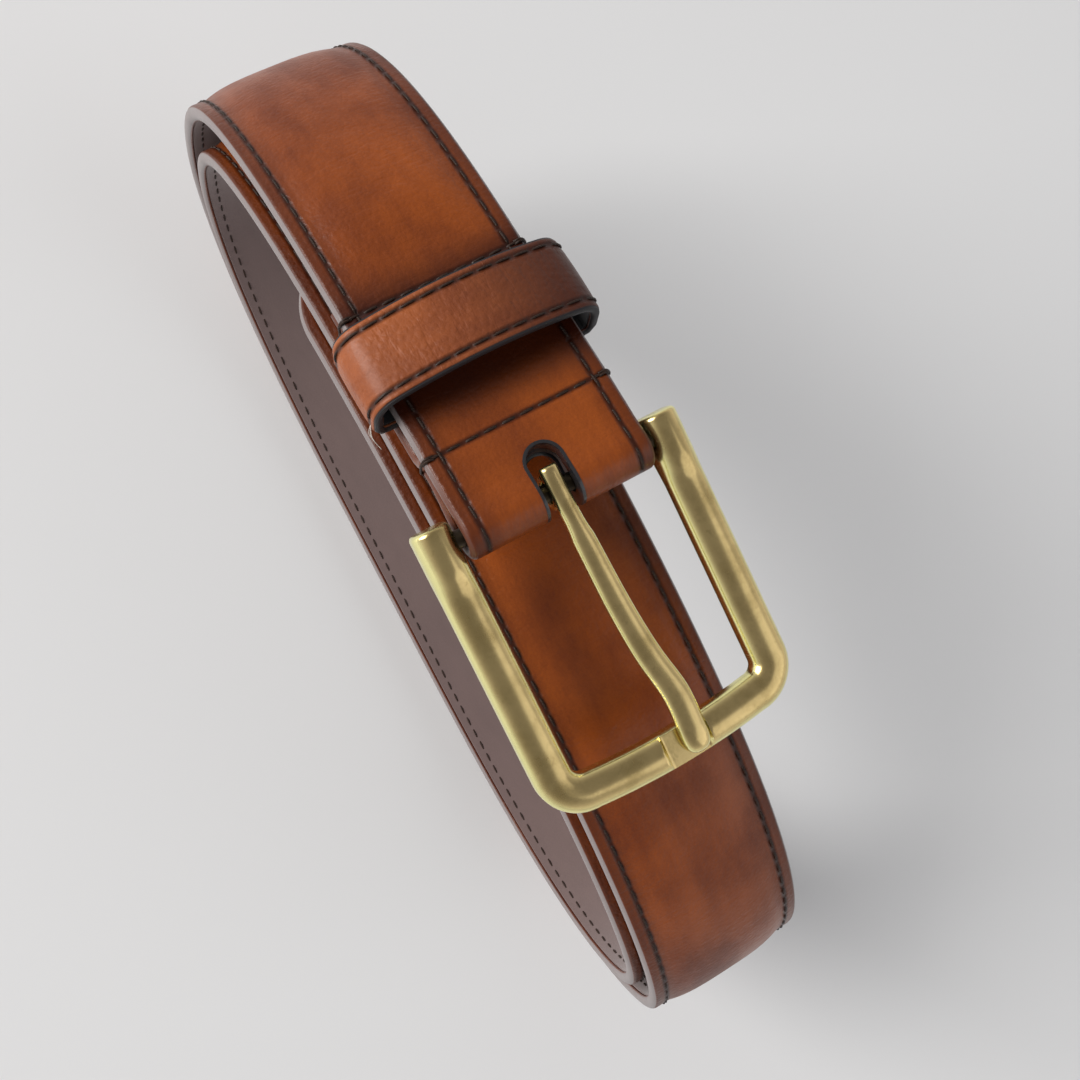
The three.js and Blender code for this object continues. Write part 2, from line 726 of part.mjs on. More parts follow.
function prongShaft() {
  const eyeTop = BAR_RADIUS + PIVOT_GAP + EYE_WALL;
  const seat = RAIL_HEIGHT * RAIL_CREST - NOTCH_DEPTH + PIVOT_GAP;
  const reach = BUCKLE_REACH - PRONG_SHORT;
  const bendX = BUCKLE_REACH - RAIL_WIDTH * 0.62;
  const steps = 9;
  const places = [{ x: -PRONG_TAIL, foot: eyeTop - PRONG_HEIGHT, t: 0, shape: 1 }];
  for (let i = 0; i <= steps; i += 1) {
    const t = i / steps;
    const sag = PRONG_SAG * Math.sin(Math.PI * t);
    const foot = eyeTop - PRONG_HEIGHT + (seat - (eyeTop - PRONG_HEIGHT)) * t - sag;
    places.push({ x: bendX * t, foot, t, shape: 1 });
  }
  places.push({ x: reach - PRONG_NOSE, foot: seat + 0.1, t: 1, shape: 0.9 });
  places.push({ x: reach, foot: seat + 0.3, t: 1, shape: 0.6 });
  const outlines = places.map(({ foot, t, shape }) => {
    const width = PRONG_ROOT_WIDTH + (PRONG_TIP_WIDTH - PRONG_ROOT_WIDTH) * Math.min(1, t * 1.1);
    const half = (width / 2) * shape;
    const top = foot + PRONG_HEIGHT - PRONG_TIP_DROP * (1 - shape);
    const lean = PRONG_LEAN * t;
    const rise = top - foot;
    return [
      [lean - half * 0.8, foot],
      [lean + half * 0.8, foot],
      [lean + half, foot + rise * 0.3],
      [lean + half * 0.85, foot + rise * 0.75],
      [lean + half * 0.4, top],
      [lean - half * 0.4, top],
      [lean - half * 0.85, foot + rise * 0.75],
      [lean - half, foot + rise * 0.3],
    ].map(([y, z]) => new THREE.Vector2(y, z));
  });
  const rings = places.map((place, i) =>
    outlines[i].map((p) => new THREE.Vector3(place.x, p.x, p.y)),
  );
  return skin(rings, outlines[0], outlines.at(-1));
}

function prong() {
  const bore = new THREE.CylinderGeometry(
    BAR_RADIUS + PIVOT_GAP,
    BAR_RADIUS + PIVOT_GAP,
    2 * EYE_WIDTH,
    16,
  );
  return cut(join([prongEye(), prongShaft()]), [bore]);
}

// ---------------------------------------------------------------- the belt

const belt = new THREE.Group();
belt.add(
  named("strap_face", strapFace, "tan"),
  named("strap_lining", strapLining, "lining"),
  named("strap_padding", strapPad, "felt"),
  named("edge_thread_left", needleThread(-1), "thread"),
  named("edge_thread_right", needleThread(1), "thread"),
  named("lining_thread_left", bobbinThread(-1), "thread"),
  named("lining_thread_right", bobbinThread(1), "thread"),
  named("fold_stitch_front", crossStitch(FRONT_STITCH), "thread"),
  named("fold_stitch_rear", crossStitch(REAR_STITCH), "thread"),
);

const lining = KEEPER_LINING;
belt.add(
  named("keeper_lining", keeperRing(0, lining), "lining"),
  named("keeper_face", keeperRing(lining + LAYER_GAP, KEEPER_THICKNESS), "tan"),
  named(
    "keeper_stitch_front",
    keeperStitch(KEEPER_CENTRE - KEEPER_WIDTH / 2 + KEEPER_STITCH_INSET),
    "thread",
  ),
  named(
    "keeper_stitch_rear",
    keeperStitch(KEEPER_CENTRE + KEEPER_WIDTH / 2 - KEEPER_STITCH_INSET),
    "thread",
  ),
  named("keeper_staple", keeperStaple(), "steel"),
);

const buckle = new THREE.Group();
buckle.position.set(BAR_X, 0, BAR_Z);
buckle.rotation.y = THREE.MathUtils.degToRad(BUCKLE_DROOP);
buckle.add(
  named("buckle_frame", buckleFrame(), "brass"),
  named("hinge_bar", hingeBar(), "brass"),
  named("prong", prong(), "brass"),
);
belt.add(buckle);

export default belt;
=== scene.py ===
"""Rolled leather belt: the finished pieces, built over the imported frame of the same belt.

The strap's layers are drawn flat, punched, thinned and shaped there, and then bent along
the coil. The keeper is made in the same way on its own small loop. The buckle is drawn out
of one section and spun round its corners. Lengths are in metres.
"""

import json
import math

import bmesh
import bpy
from bpy.props import FloatProperty, FloatVectorProperty, IntProperty, PointerProperty
from mathutils import Matrix, Vector
from mathutils.geometry import interpolate_bezier


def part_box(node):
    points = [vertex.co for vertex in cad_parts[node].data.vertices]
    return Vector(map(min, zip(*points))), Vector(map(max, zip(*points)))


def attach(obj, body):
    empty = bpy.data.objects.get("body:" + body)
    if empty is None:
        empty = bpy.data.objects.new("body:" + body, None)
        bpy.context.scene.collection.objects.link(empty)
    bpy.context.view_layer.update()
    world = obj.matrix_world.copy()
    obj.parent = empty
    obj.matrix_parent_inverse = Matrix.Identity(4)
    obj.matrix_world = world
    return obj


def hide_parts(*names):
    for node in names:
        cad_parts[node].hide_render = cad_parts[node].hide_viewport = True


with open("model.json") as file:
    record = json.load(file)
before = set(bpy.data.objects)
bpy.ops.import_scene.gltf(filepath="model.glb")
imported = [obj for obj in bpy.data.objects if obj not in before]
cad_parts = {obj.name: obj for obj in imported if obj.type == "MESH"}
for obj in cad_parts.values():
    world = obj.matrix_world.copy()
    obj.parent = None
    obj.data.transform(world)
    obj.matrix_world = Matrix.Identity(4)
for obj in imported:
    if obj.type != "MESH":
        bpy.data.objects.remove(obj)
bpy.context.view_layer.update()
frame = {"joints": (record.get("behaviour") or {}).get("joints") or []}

bl_info = {
    "name": "Rolled Leather Belt",
    "version": (1, 0, 0),
    "blender": (4, 5, 0),
    "location": "3D View > Sidebar > Belt",
    "description": "Builds a rolled leather belt with its keeper, stitching and buckle",
    "category": "Add Mesh",
}

MM = 0.001
JOINTS = {joint["name"]: joint for joint in frame["joints"]}
HINGE = Vector(JOINTS["buckle_hinge"]["pos_m"])
SLIDE = Vector(JOINTS["keeper_slide"]["axis"])
BAR_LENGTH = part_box("hinge_bar")[1].y * 2
BUCKLE_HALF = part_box("buckle_frame")[1].y

# The doubled end: towards the tip, and out through the face of the strap.
BACKWARD = -SLIDE
OUTWARD = Vector((-SLIDE.z, 0, SLIDE.x))


# ---------------------------------------------------------------- sizes and colours


def length(name, description, default):
    return FloatProperty(
        name=name, description=description, default=default * MM, unit="LENGTH", precision=5
    )


def colour(name, description, default):
    return FloatVectorProperty(
        name=name, description=description, default=default, subtype="COLOR", size=3, min=0, max=1
    )


def degrees(name, description, default):
    return FloatProperty(
        name=name, description=description, default=math.radians(default), unit="ROTATION"
    )


class BeltStrapSettings(bpy.types.PropertyGroup):
    """Sizes of the strap and of its stitching"""

    width: length("Width", "Across the strap", 35)
    long: length("Length", "From the hinge bar to the tip", 1060)
    edge: length("Edge Thickness", "Face and lining together at the border", 3.0)
    lining: length("Lining", "Thickness of the lining", 1.4)
    crown: length("Crown", "Height of the padding above the border", 1.2)
    border: length("Border", "Flat border outside the padding", 4.2)
    nose: length("Edge Rounding", "How far the painted edge rounds in", 1.1)
    skived: FloatProperty(
        name="Skiving",
        description="Share of the thickness left at the fold",
        default=0.77,
        subtype="FACTOR",
        min=0.3,
        max=1,
    )
    tip: length("Tip", "Length of the rounded end", 16)
    drift: length("Drift", "Sideways creep of the tail", 2)
    hole: length("Hole", "Diameter of the adjusting holes", 5.6)
    hole_pitch: length("Hole Pitch", "From hole to hole", 25)
    first_hole: length("First Hole", "From the tip to the first hole", 105)
    hole_count: IntProperty(name="Holes", description="Number of adjusting holes", default=5)
    slot: length("Slot", "Width of the opening for the prong", 7.2)
    slot_rear: length("Slot Rear", "How far the slot reaches behind the bar", 7.4)
    stitch_inset: length("Stitch Inset", "From the edge to the stitch row", 3)
    stitch_pitch: length("Stitch Pitch", "From stitch to stitch", 3.4)
    thread: length("Thread", "Width of the thread", 0.48)


class BeltCoilSettings(bpy.types.PropertyGroup):
    """Sizes of the coil and of the doubled end"""

    half: length("Half Length", "Middle of the coil to its far side", 105.7)
    side_height: length("Side Height", "Height of the widest points", 60.5)
    roundness: FloatProperty(
        name="Roundness", description="Handle length of each quarter turn", default=0.62
    )
    rest: length("Rest", "Flat part of the lower run", 50)
    second_top: length("Second Top", "Outer height of the second lap", 112.5)
    pitch: length("Lap Pitch", "From one lap to the next", 6.2)
    fold: length("Fold Radius", "Bar axis to the back of the lining", 2)
    turn_back: length("Turn Back", "Length of the turned-back layer", 44.6)
    pocket: length("Pocket", "Room for the keeper between the layers", 2.8)
    touch: length("Touch", "Gap between layers held by a stitch row", 0.3)
    front_row: length("Front Row", "Bar to the front stitch row", 12.6)
    rear_row: length("Rear Row", "Bar to the rear stitch row", 40.6)


class BeltKeeperSettings(bpy.types.PropertyGroup):
    """Sizes of the keeper"""

    centre: length("Centre", "Bar to the middle of the keeper", 29.1)
    width: length("Width", "Along the strap", 15)
    thickness: length("Thickness", "Face and lining together", 2.1)
    lining: length("Lining", "Thickness of the lining", 0.8)
    side_gap: length("Side Gap", "Strap edge to keeper", 1.9)
    floor_gap: length("Floor Gap", "Lining of the strap to the keeper", 0.35)
    room: length("Room", "Strap to the middle of the keeper", 6.3)
    corner: length("Corner", "Radius of the upper corners", 3.5)
    corner_sweep: degrees("Corner Sweep", "Turn of a corner before the top begins", 76)
    floor_corner: length("Floor Corner", "Radius of the lower corners", 0.6)
    stitch_inset: length("Stitch Inset", "From the edge to the stitch row", 1.8)
    staple: length("Staple", "Length of the staple", 9)
    staple_wire: length("Staple Wire", "Thickness of the staple", 0.6)


class BeltBuckleSettings(bpy.types.PropertyGroup):
    """Sizes of the buckle and its prong"""

    droop: degrees("Droop", "Fall of the buckle from the bar", 7.2)
    reach: length("Reach", "Bar axis to the front of the frame", 51.5)
    rail_width: length("Rail Width", "Width of the frame's section", 6.8)
    rail_height: length("Rail Height", "Height of the frame's section", 4.8)
    lug_height: length("Lug Height", "Height of the frame at the bar", 6.6)
    lug_rear: length("Lug Rear", "How far a lug reaches behind the bar", 3.7)
    lug_length: length("Lug Length", "Where a lug has come down to the rail", 9)
    inner_corner: length("Inner Corner", "Inside radius of the corners", 1.8)
    bow: length("Bow", "Forward bow of the front", 1)
    notch_width: length("Notch Width", "Seat of the prong, across", 9)
    notch_depth: length("Notch Depth", "Seat of the prong, down", 1.3)
    notch_side: length("Notch Side", "Middle of the notch, off centre", 1.3)
    bar: length("Bar Radius", "Radius of the hinge bar", 1.6)
    eye_gap: length("Eye Gap", "Bar to the prong's eye", 0.3)
    eye_wall: length("Eye Wall", "Thickness of the prong's eye", 1.7)
    prong_tail: length("Prong Tail", "How far the squared root reaches behind the bar", 4.2)
    prong_height: length("Prong Height", "Thickness of the prong", 2.6)
    prong_root: length("Prong Root", "Width of the prong at the bar", 3.2)
    prong_tip: length("Prong Tip", "Width of the prong at its end", 4.9)
    prong_lean: length("Prong Lean", "Sideways lean of the tip", 2.6)
    prong_short: length("Prong Short", "Front of the frame to the tip", 1.2)


class BeltColourSettings(bpy.types.PropertyGroup):
    """Colours of the leather, thread and metal"""

    tan: colour("Tan", "Light parts of the strap", (0.315, 0.068, 0.0065))
    # Brown is the dark end of the hide's tone; the burnished borders, the painted shade and the
    # seams' painted shade are drawn from it.
    brown: colour("Brown", "Burnished parts of the strap", (0.085, 0.012, 0.0013))
    keeper: colour("Keeper", "Light parts of the keeper", (0.36, 0.095, 0.022))
    # The keeper's dark colour is also what its painted shade is drawn from.
    keeper_brown: colour("Keeper Brown", "Dark parts of the keeper", (0.115, 0.02, 0.004))
    # The strap's pale grey edge colour is a painted sheen: the glossy edge's reflection of the
    # bright light at the left, painted into its colour.
    paint: colour("Edge Paint", "Polished edges of the strap", (0.23, 0.195, 0.19))
    # Dark edge paint also colours the keeper's lining near black, as painted shade inside the loop.
    dark_paint_and_shade: colour("Dark Edge Paint", "Edges of the keeper and the slot", (0.013, 0.012, 0.014))
    lining: colour("Lining", "Back of the strap", (0.19, 0.125, 0.115))
    thread: colour("Thread", "Stitching", (0.02, 0.009, 0.005))
    wisp: colour("Thread Wisp", "Loose fibre of the thread", (0.42, 0.38, 0.34))
    brass: colour("Brass", "Polished parts of the buckle", (0.72, 0.54, 0.24))
    patina: colour("Patina", "Tarnished parts of the buckle", (0.25, 0.165, 0.045))
    # The hinge bar's near black is painted shade: the bar sits in the shade of the fold and the
    # prong.
    bar: colour("Hinge Bar", "Tarnished metal of the hinge bar", (0.05, 0.037, 0.024))
    steel: colour("Steel", "The staple", (0.62, 0.6, 0.6))
    floor: colour("Floor", "The pale floor", (0.75, 0.748, 0.75))


class BeltStageSettings(bpy.types.PropertyGroup):
    """Camera and light"""

    azimuth: degrees("Azimuth", "Camera's side", -2.637)
    elevation: degrees("Elevation", "Camera's height above the horizon", 76.3)
    roll: degrees("Roll", "Turn of the camera on its own axis", 64.768)
    distance: length("Distance", "Camera to the point it looks at", 213.58)
    lens: FloatProperty(name="Lens", description="Focal length", default=41.9)
    key: FloatProperty(name="Key Light", description="Soft light at the left", default=84.0)
    fill: FloatProperty(name="Fill Light", description="Soft light at the right", default=3.0)
    sky: FloatProperty(name="Sky", description="Even light from all round", default=0.42)


# ---------------------------------------------------------------- small tools


def deselect():
    active = bpy.context.view_layer.objects.active
    if active and active.mode != "OBJECT":
        bpy.ops.object.mode_set(mode="OBJECT")
    bpy.ops.object.select_all(action="DESELECT")


def pick(*pieces):
    """Selects these pieces only, and makes the first one active."""
    deselect()
    for piece in pieces:
        piece.select_set(True)
    bpy.context.view_layer.objects.active = pieces[0]


def call_piece(name):
    piece = bpy.context.object
    piece.name = name
    piece.data.name = name
    return piece


def apply_modifier(piece, kind, **values):
    pick(piece)
    bpy.ops.object.modifier_add(type=kind)
    modifier = piece.modifiers[-1]
    for key, value in values.items():
        setattr(modifier, key, value)
    bpy.ops.object.modifier_apply(modifier=modifier.name)


def remove(*pieces):
    pick(*pieces)
    bpy.ops.object.delete()


def join(name, pieces):
    pick(*pieces)
    bpy.ops.object.join()
    return call_piece(name)


def turn_and_place(piece, matrix):
    """Moves a piece from its own frame to its place, and leaves its object at the origin."""
    pick(piece)
    piece.matrix_world = matrix
    bpy.ops.object.transform_apply(location=True, rotation=True, scale=True)


def point_normals_out(piece):
    pick(piece)
    bpy.ops.object.mode_set(mode="EDIT")
    bpy.ops.mesh.select_all(action="SELECT")
    bpy.ops.mesh.normals_make_consistent(inside=False)
    bpy.ops.object.mode_set(mode="OBJECT")


def smooth(piece, angle=35):
    pick(piece)
    bpy.ops.object.shade_smooth_by_angle(angle=math.radians(angle))


def ramp(value, start, end):
    return min(1.0, max(0.0, (value - start) / (end - start)))


def ease(value, start, end):
    t = ramp(value, start, end)
    return t * t * (3 - 2 * t)


def filled_section(name, outline, x):
    """A face that stands across the X axis, from its outline of (across, up) points."""
    deselect()
    bpy.ops.mesh.primitive_circle_add(vertices=len(outline), fill_type="NGON")
    piece = call_piece(name)
    for vertex, (across, up) in zip(piece.data.vertices, outline):
        vertex.co = (x, across, up)
    return piece


def draw_out(ends):
    """Extrudes the selected face along X through these places."""
    for start, end in zip(ends, ends[1:]):
        bpy.ops.mesh.extrude_region_move(
            TRANSFORM_OT_translate={"value": (end - start, 0, 0), "orient_type": "GLOBAL"}
        )


def cut_across(piece, axis, start, end, cuts):
    """Cuts every edge that runs along an axis from start to end into equal lengths."""
    bpy.ops.mesh.select_mode(type="EDGE")
    bpy.ops.mesh.select_all(action="DESELECT")
    mesh = bmesh.from_edit_mesh(piece.data)
    for edge in mesh.edges:
        low, high = sorted(vertex.co[axis] for vertex in edge.verts)
        if abs(low - start) < 1e-6 and abs(high - end) < 1e-6:
            edge.select_set(True)
    bmesh.update_edit_mesh(piece.data)
    bpy.ops.mesh.subdivide(number_cuts=cuts)


# One call of subdivide makes no more than 100 cuts.
MOST_CUTS = 90


def flat_band(name, outline, stretches):
    """A straight band along X, from its section and its stretches of (end, facet length)."""
    ends = [stretches[0][0]]
    facets = []
    for end, facet in stretches[1:]:
        start = ends[-1]
        parts = math.ceil((end - start) / facet / MOST_CUTS)
        ends += [start + (end - start) * (i + 1) / parts for i in range(parts)]
        facets += [facet] * parts
    band = filled_section(name, outline, ends[0])
    bpy.ops.object.mode_set(mode="EDIT")
    bpy.ops.mesh.select_all(action="SELECT")
    draw_out(ends)
    for start, end, facet in zip(ends, ends[1:], facets):
        cut_across(band, 0, start, end, max(1, round((end - start) / facet) - 1))
    bpy.ops.object.mode_set(mode="OBJECT")
    point_normals_out(band)
    return band


def keep_flat_place(piece, start=0.0):
    """Stores each point's place on the unrolled leather, for the patterns to follow."""
    places = piece.data.attributes.new("unrolled", "FLOAT_VECTOR", "POINT")
    for vertex, place in zip(piece.data.vertices, places.data):
        place.vector = (vertex.co.x - start, vertex.co.y, vertex.co.z)


def bend_along(piece, route):
    """Bends a flat piece along a route; its upper side comes to lie outside the coil."""
    turn_and_place(piece, Matrix.Rotation(math.pi, 4, "X"))
    apply_modifier(piece, "CURVE", object=route, deform_axis="POS_X")


def draw_route(name, knots, steps=None):
    """A path in the XZ plane, from knots of (place, handle before, handle after)."""
    deselect()
    bpy.ops.curve.primitive_bezier_curve_add()
    route = call_piece(name)
    route.data.dimensions = "3D"
    route.data.twist_mode = "MINIMUM"
    route.data.resolution_u = steps or ROUTE_STEPS
    route.data.use_deform_bounds = False
    spline = route.data.splines[0]
    spline.bezier_points.add(len(knots) - 2)
    for point, knot in zip(spline.bezier_points, knots):
        point.handle_left_type = point.handle_right_type = "FREE"
        point.co, point.handle_left, point.handle_right = (
            Vector((place.x, 0, place.y)) for place in knot
        )
    return route


def draw_thread(name, points, radius):
    """A round wire or thread through these points, as a mesh."""
    deselect()
    bpy.ops.curve.primitive_bezier_curve_add()
    wire = call_piece(name)
    wire.data.dimensions = "3D"
    wire.data.bevel_depth = radius
    wire.data.bevel_resolution = 2
    wire.data.resolution_u = 6
    wire.data.use_fill_caps = True
    spline = wire.data.splines[0]
    spline.bezier_points.add(len(points) - 2)
    for point, place in zip(spline.bezier_points, points):
        point.co = place
        point.handle_left_type = point.handle_right_type = "AUTO"
    bpy.ops.object.convert(target="MESH")
    return bpy.context.object


def finish_piece(piece, material, body, slot, *nodes):
    """Gives a piece its material and its body, and hides the nodes it stands for."""
    piece.data.materials.clear()
    piece.data.materials.append(material)
    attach(piece, body)
    if nodes:
        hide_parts(*nodes)


# ---------------------------------------------------------------- the routes

ROUTE_STEPS = 32
KEEPER_STEPS = 3

# Handle length of a quarter circle, as a share of its radius.
QUARTER_HANDLE = 0.5523


def knot_length(first, second, steps):
    points = interpolate_bezier(
        first[0].to_3d(), first[2].to_3d(), second[1].to_3d(), second[0].to_3d(), steps + 1
    )
    return sum((b - a).length for a, b in zip(points, points[1:]))


def route_length(knots, steps=None):
    pairs = zip(knots, knots[1:])
    return sum(knot_length(first, second, steps or ROUTE_STEPS) for first, second in pairs)


def doubled_end_knots(coil):
    """The turned-back layer, the fold round the bar and the upper layer, up to the coil."""
    bar = Vector((HINGE.x, HINGE.z))
    back = Vector((BACKWARD.x, BACKWARD.z))
    out = Vector((OUTWARD.x, OUTWARD.z))

    def end_point(s, h):
        return bar + back * s + out * (coil.fold + h)

    def level(s, h, before, after):
        return end_point(s, h), end_point(s + before, h), end_point(s - after, h)

    radius = coil.fold
    handle = radius * QUARTER_HANDLE
    rear = coil.rear_row
    front = coil.front_row
    touch = -coil.touch
    under = -coil.pocket
    layer = [
        level(coil.turn_back, touch, 0, 1.4 * MM),
        level(rear - 1.0 * MM, touch, 1.0 * MM, 1.6 * MM),
        level(rear - 4.4 * MM, under, 1.6 * MM, 6 * MM),
        level(front + 4.0 * MM, under, 6 * MM, 1.6 * MM),
        level(front + 0.9 * MM, touch, 1.6 * MM, 0.6 * MM),
        level(front - 1.4 * MM, touch, 0.6 * MM, 4 * MM),
        level(0, -2 * radius, 5 * MM, handle),
    ]
    nose = (
        end_point(-radius, -radius),
        end_point(-radius, -radius - handle),
        end_point(-radius, -radius + handle),
    )
    top = (end_point(0, 0), end_point(-handle, 0), end_point(16 * MM, 0))
    last = coil.turn_back + 1 * MM
    leave = end_point(last, 0)
    left_x = -coil.half + STRAP_THICK
    reach = coil.roundness * (leave.x - left_x)
    end = (leave, end_point(last - 16 * MM, 0), leave + back * reach)
    return layer, [nose, top, end]


def coil_knots(coil, start):
    """Three laps inwards from the doubled end: left, rest, right and top of each."""
    knots = []
    bulge = coil.roundness
    here = start
    for lap in range(3):
        inset = lap * coil.pitch + STRAP_THICK
        left = Vector((-coil.half + inset, coil.side_height))
        right = Vector((coil.half - inset, coil.side_height))
        rest = [Vector((side * coil.rest / 2, inset)) for side in (-1, 1)]
        top = Vector((0, coil.second_top - inset))
        third = Vector((coil.rest / 3, 0))

        def rise(place, other):
            return Vector((place.x, place.y + bulge * (other.y - place.y)))

        def run(place, other):
            return Vector((place.x + bulge * (other.x - place.x), place.y))

        next_left = Vector((left.x + coil.pitch, left.y))
        knots += [
            (left, rise(left, here), rise(left, rest[0])),
            (rest[0], run(rest[0], left), rest[0] + third),
            (rest[1], rest[1] - third, run(rest[1], right)),
            (right, rise(right, rest[1]), rise(right, top)),
            (top, run(top, right), run(top, next_left)),
        ]
        here = top
    return knots


def strap_route(scene):
    """The whole route, and its length from the cut end to the top of the bar."""
    coil = scene.belt_coil
    layer, end = doubled_end_knots(coil)
    knots = layer + end + coil_knots(coil, end[-1][0])
    return knots, route_length(layer + end[:2])


def keeper_loop(scene, offset=0.0):
    """The keeper's inner line as points (across, up), from the middle of its floor."""
    keeper = scene.belt_keeper
    half = scene.belt_strap.width / 2 + keeper.side_gap
    sweep = keeper.corner_sweep
    side = half - keeper.corner
    extra = side / math.cos(sweep)
    rise = extra * (1 - math.sin(sweep))
    corner_up = scene.belt_strap.edge + keeper.room - keeper.corner - rise
    dome_up = corner_up - extra * math.sin(sweep)
    floor_side = half - keeper.floor_corner
    floor_up = -keeper.floor_gap + keeper.floor_corner
    turn = math.pi

    def arc(across, up, radius, start, end, steps):
        for i in range(steps + 1):
            angle = start + (end - start) * i / steps
            reach = radius + offset
            yield Vector((across + reach * math.cos(angle), up + reach * math.sin(angle)))

    floor = keeper.floor_corner
    dome = extra + keeper.corner
    return [
        Vector((0, -keeper.floor_gap - offset)),
        *arc(floor_side, floor_up, floor, -turn / 2, 0, 5),
        *arc(side, corner_up, keeper.corner, 0, sweep, 10),
        *list(arc(0, dome_up, dome, sweep, turn - sweep, 16))[1:-1],
        *arc(-side, corner_up, keeper.corner, turn - sweep, turn, 10),
        *arc(-floor_side, floor_up, floor, turn, 1.5 * turn, 5),
    ]


def straight_knots(points):
    """Knots with short handles towards their neighbours, for a closed line of many points."""
    knots = []
    for before, here, after in zip(points[-1:] + points[:-1], points, points[1:] + points[:1]):
        tangent = (after - before).normalized()
        lead = (here - before).length / 3
        tail = (after - here).length / 3
        knots.append((here, here - tangent * lead, here + tangent * tail))
    return knots


def end_frame(s):
    """The frame of the doubled end: X across the strap, Y away from the bar, Z outwards."""
    place = HINGE + BACKWARD * s + OUTWARD * bpy.context.scene.belt_coil.fold
    axes = Matrix((Vector((0, 1, 0)), BACKWARD, OUTWARD)).transposed().to_4x4()
    return Matrix.Translation(place) @ axes


def buckle_frame_matrix(scene):
    return Matrix.Translation(HINGE) @ Matrix.Rotation(scene.belt_buckle.droop, 4, "Y")


STRAP_THICK = 4.2 * MM


# ---------------------------------------------------------------- shader node groups


def new_group(name, inputs, outputs):
    """An empty node group with its sockets, given as (name, kind, default)."""
    tree = bpy.data.node_groups.new(name, "ShaderNodeTree")
    for label, kind, default in inputs:
        socket = tree.interface.new_socket(label, in_out="INPUT", socket_type=kind)
        if default is not None:
            socket.default_value = default
    for label, kind in outputs:
        tree.interface.new_socket(label, in_out="OUTPUT", socket_type=kind)
    entry = tree.nodes.new("NodeGroupInput")
    leave = tree.nodes.new("NodeGroupOutput")
    entry.location = (-1200, 0)
    leave.location = (700, 0)
    return tree, entry, leave


def add_node(tree, kind, place, **values):
    """A node with its settings; values named after a socket are set on that socket."""
    node = tree.nodes.new(kind)
    node.location = place
    for key, value in values.items():
        label = key.replace("_", " ").title()
        if hasattr(node, key):
            setattr(node, key, value)
        else:
            node.inputs[label].default_value = value
    return node


def math_node(tree, place, operation, first, second=None, clamp=False):
    """A Math node whose two inputs are numbers or sockets."""
    node = add_node(tree, "ShaderNodeMath", place, operation=operation, use_clamp=clamp)
    for socket, value in zip(node.inputs, (first, second)):
        if value is None:
            continue
        if isinstance(value, (int, float)):
            socket.default_value = value
        else:
            tree.links.new(value, socket)
    return node.outputs[0]


def range_node(tree, place, value, low, high, to_low=0.0, to_high=1.0):
    """Maps a value smoothly from one range to another."""
    node = add_node(tree, "ShaderNodeMapRange", place, interpolation_type="SMOOTHSTEP")
    tree.links.new(value, node.inputs["Value"])
    for label, number in zip(
        ("From Min", "From Max", "To Min", "To Max"), (low, high, to_low, to_high)
    ):
        node.inputs[label].default_value = number
    return node.outputs[0]


def mix_colours(tree, place, factor, first, second, blend="MIX"):
    """A colour Mix node; each colour is a tuple or a socket."""
    node = add_node(tree, "ShaderNodeMix", place, data_type="RGBA", blend_type=blend)
    sockets = (node.inputs[0], node.inputs[6], node.inputs[7])
    for socket, value in zip(sockets, (factor, first, second)):
        if isinstance(value, (int, float)):
            socket.default_value = value
        elif isinstance(value, bpy.types.NodeSocket):
            tree.links.new(value, socket)
        else:
            socket.default_value = (*value, 1)
    return node.outputs[2]


def noise(tree, place, vector, scale, detail=3.0, roughness=0.5):
    node = add_node(
        tree, "ShaderNodeTexNoise", place, scale=scale, detail=detail, roughness=roughness
    )
    tree.links.new(vector, node.inputs["Vector"])
    return node.outputs["Fac"]


def stretched(tree, place, vector, scale):
    node = add_node(tree, "ShaderNodeMapping", place, scale=scale)
    tree.links.new(vector, node.inputs["Vector"])
    return node.outputs[0]


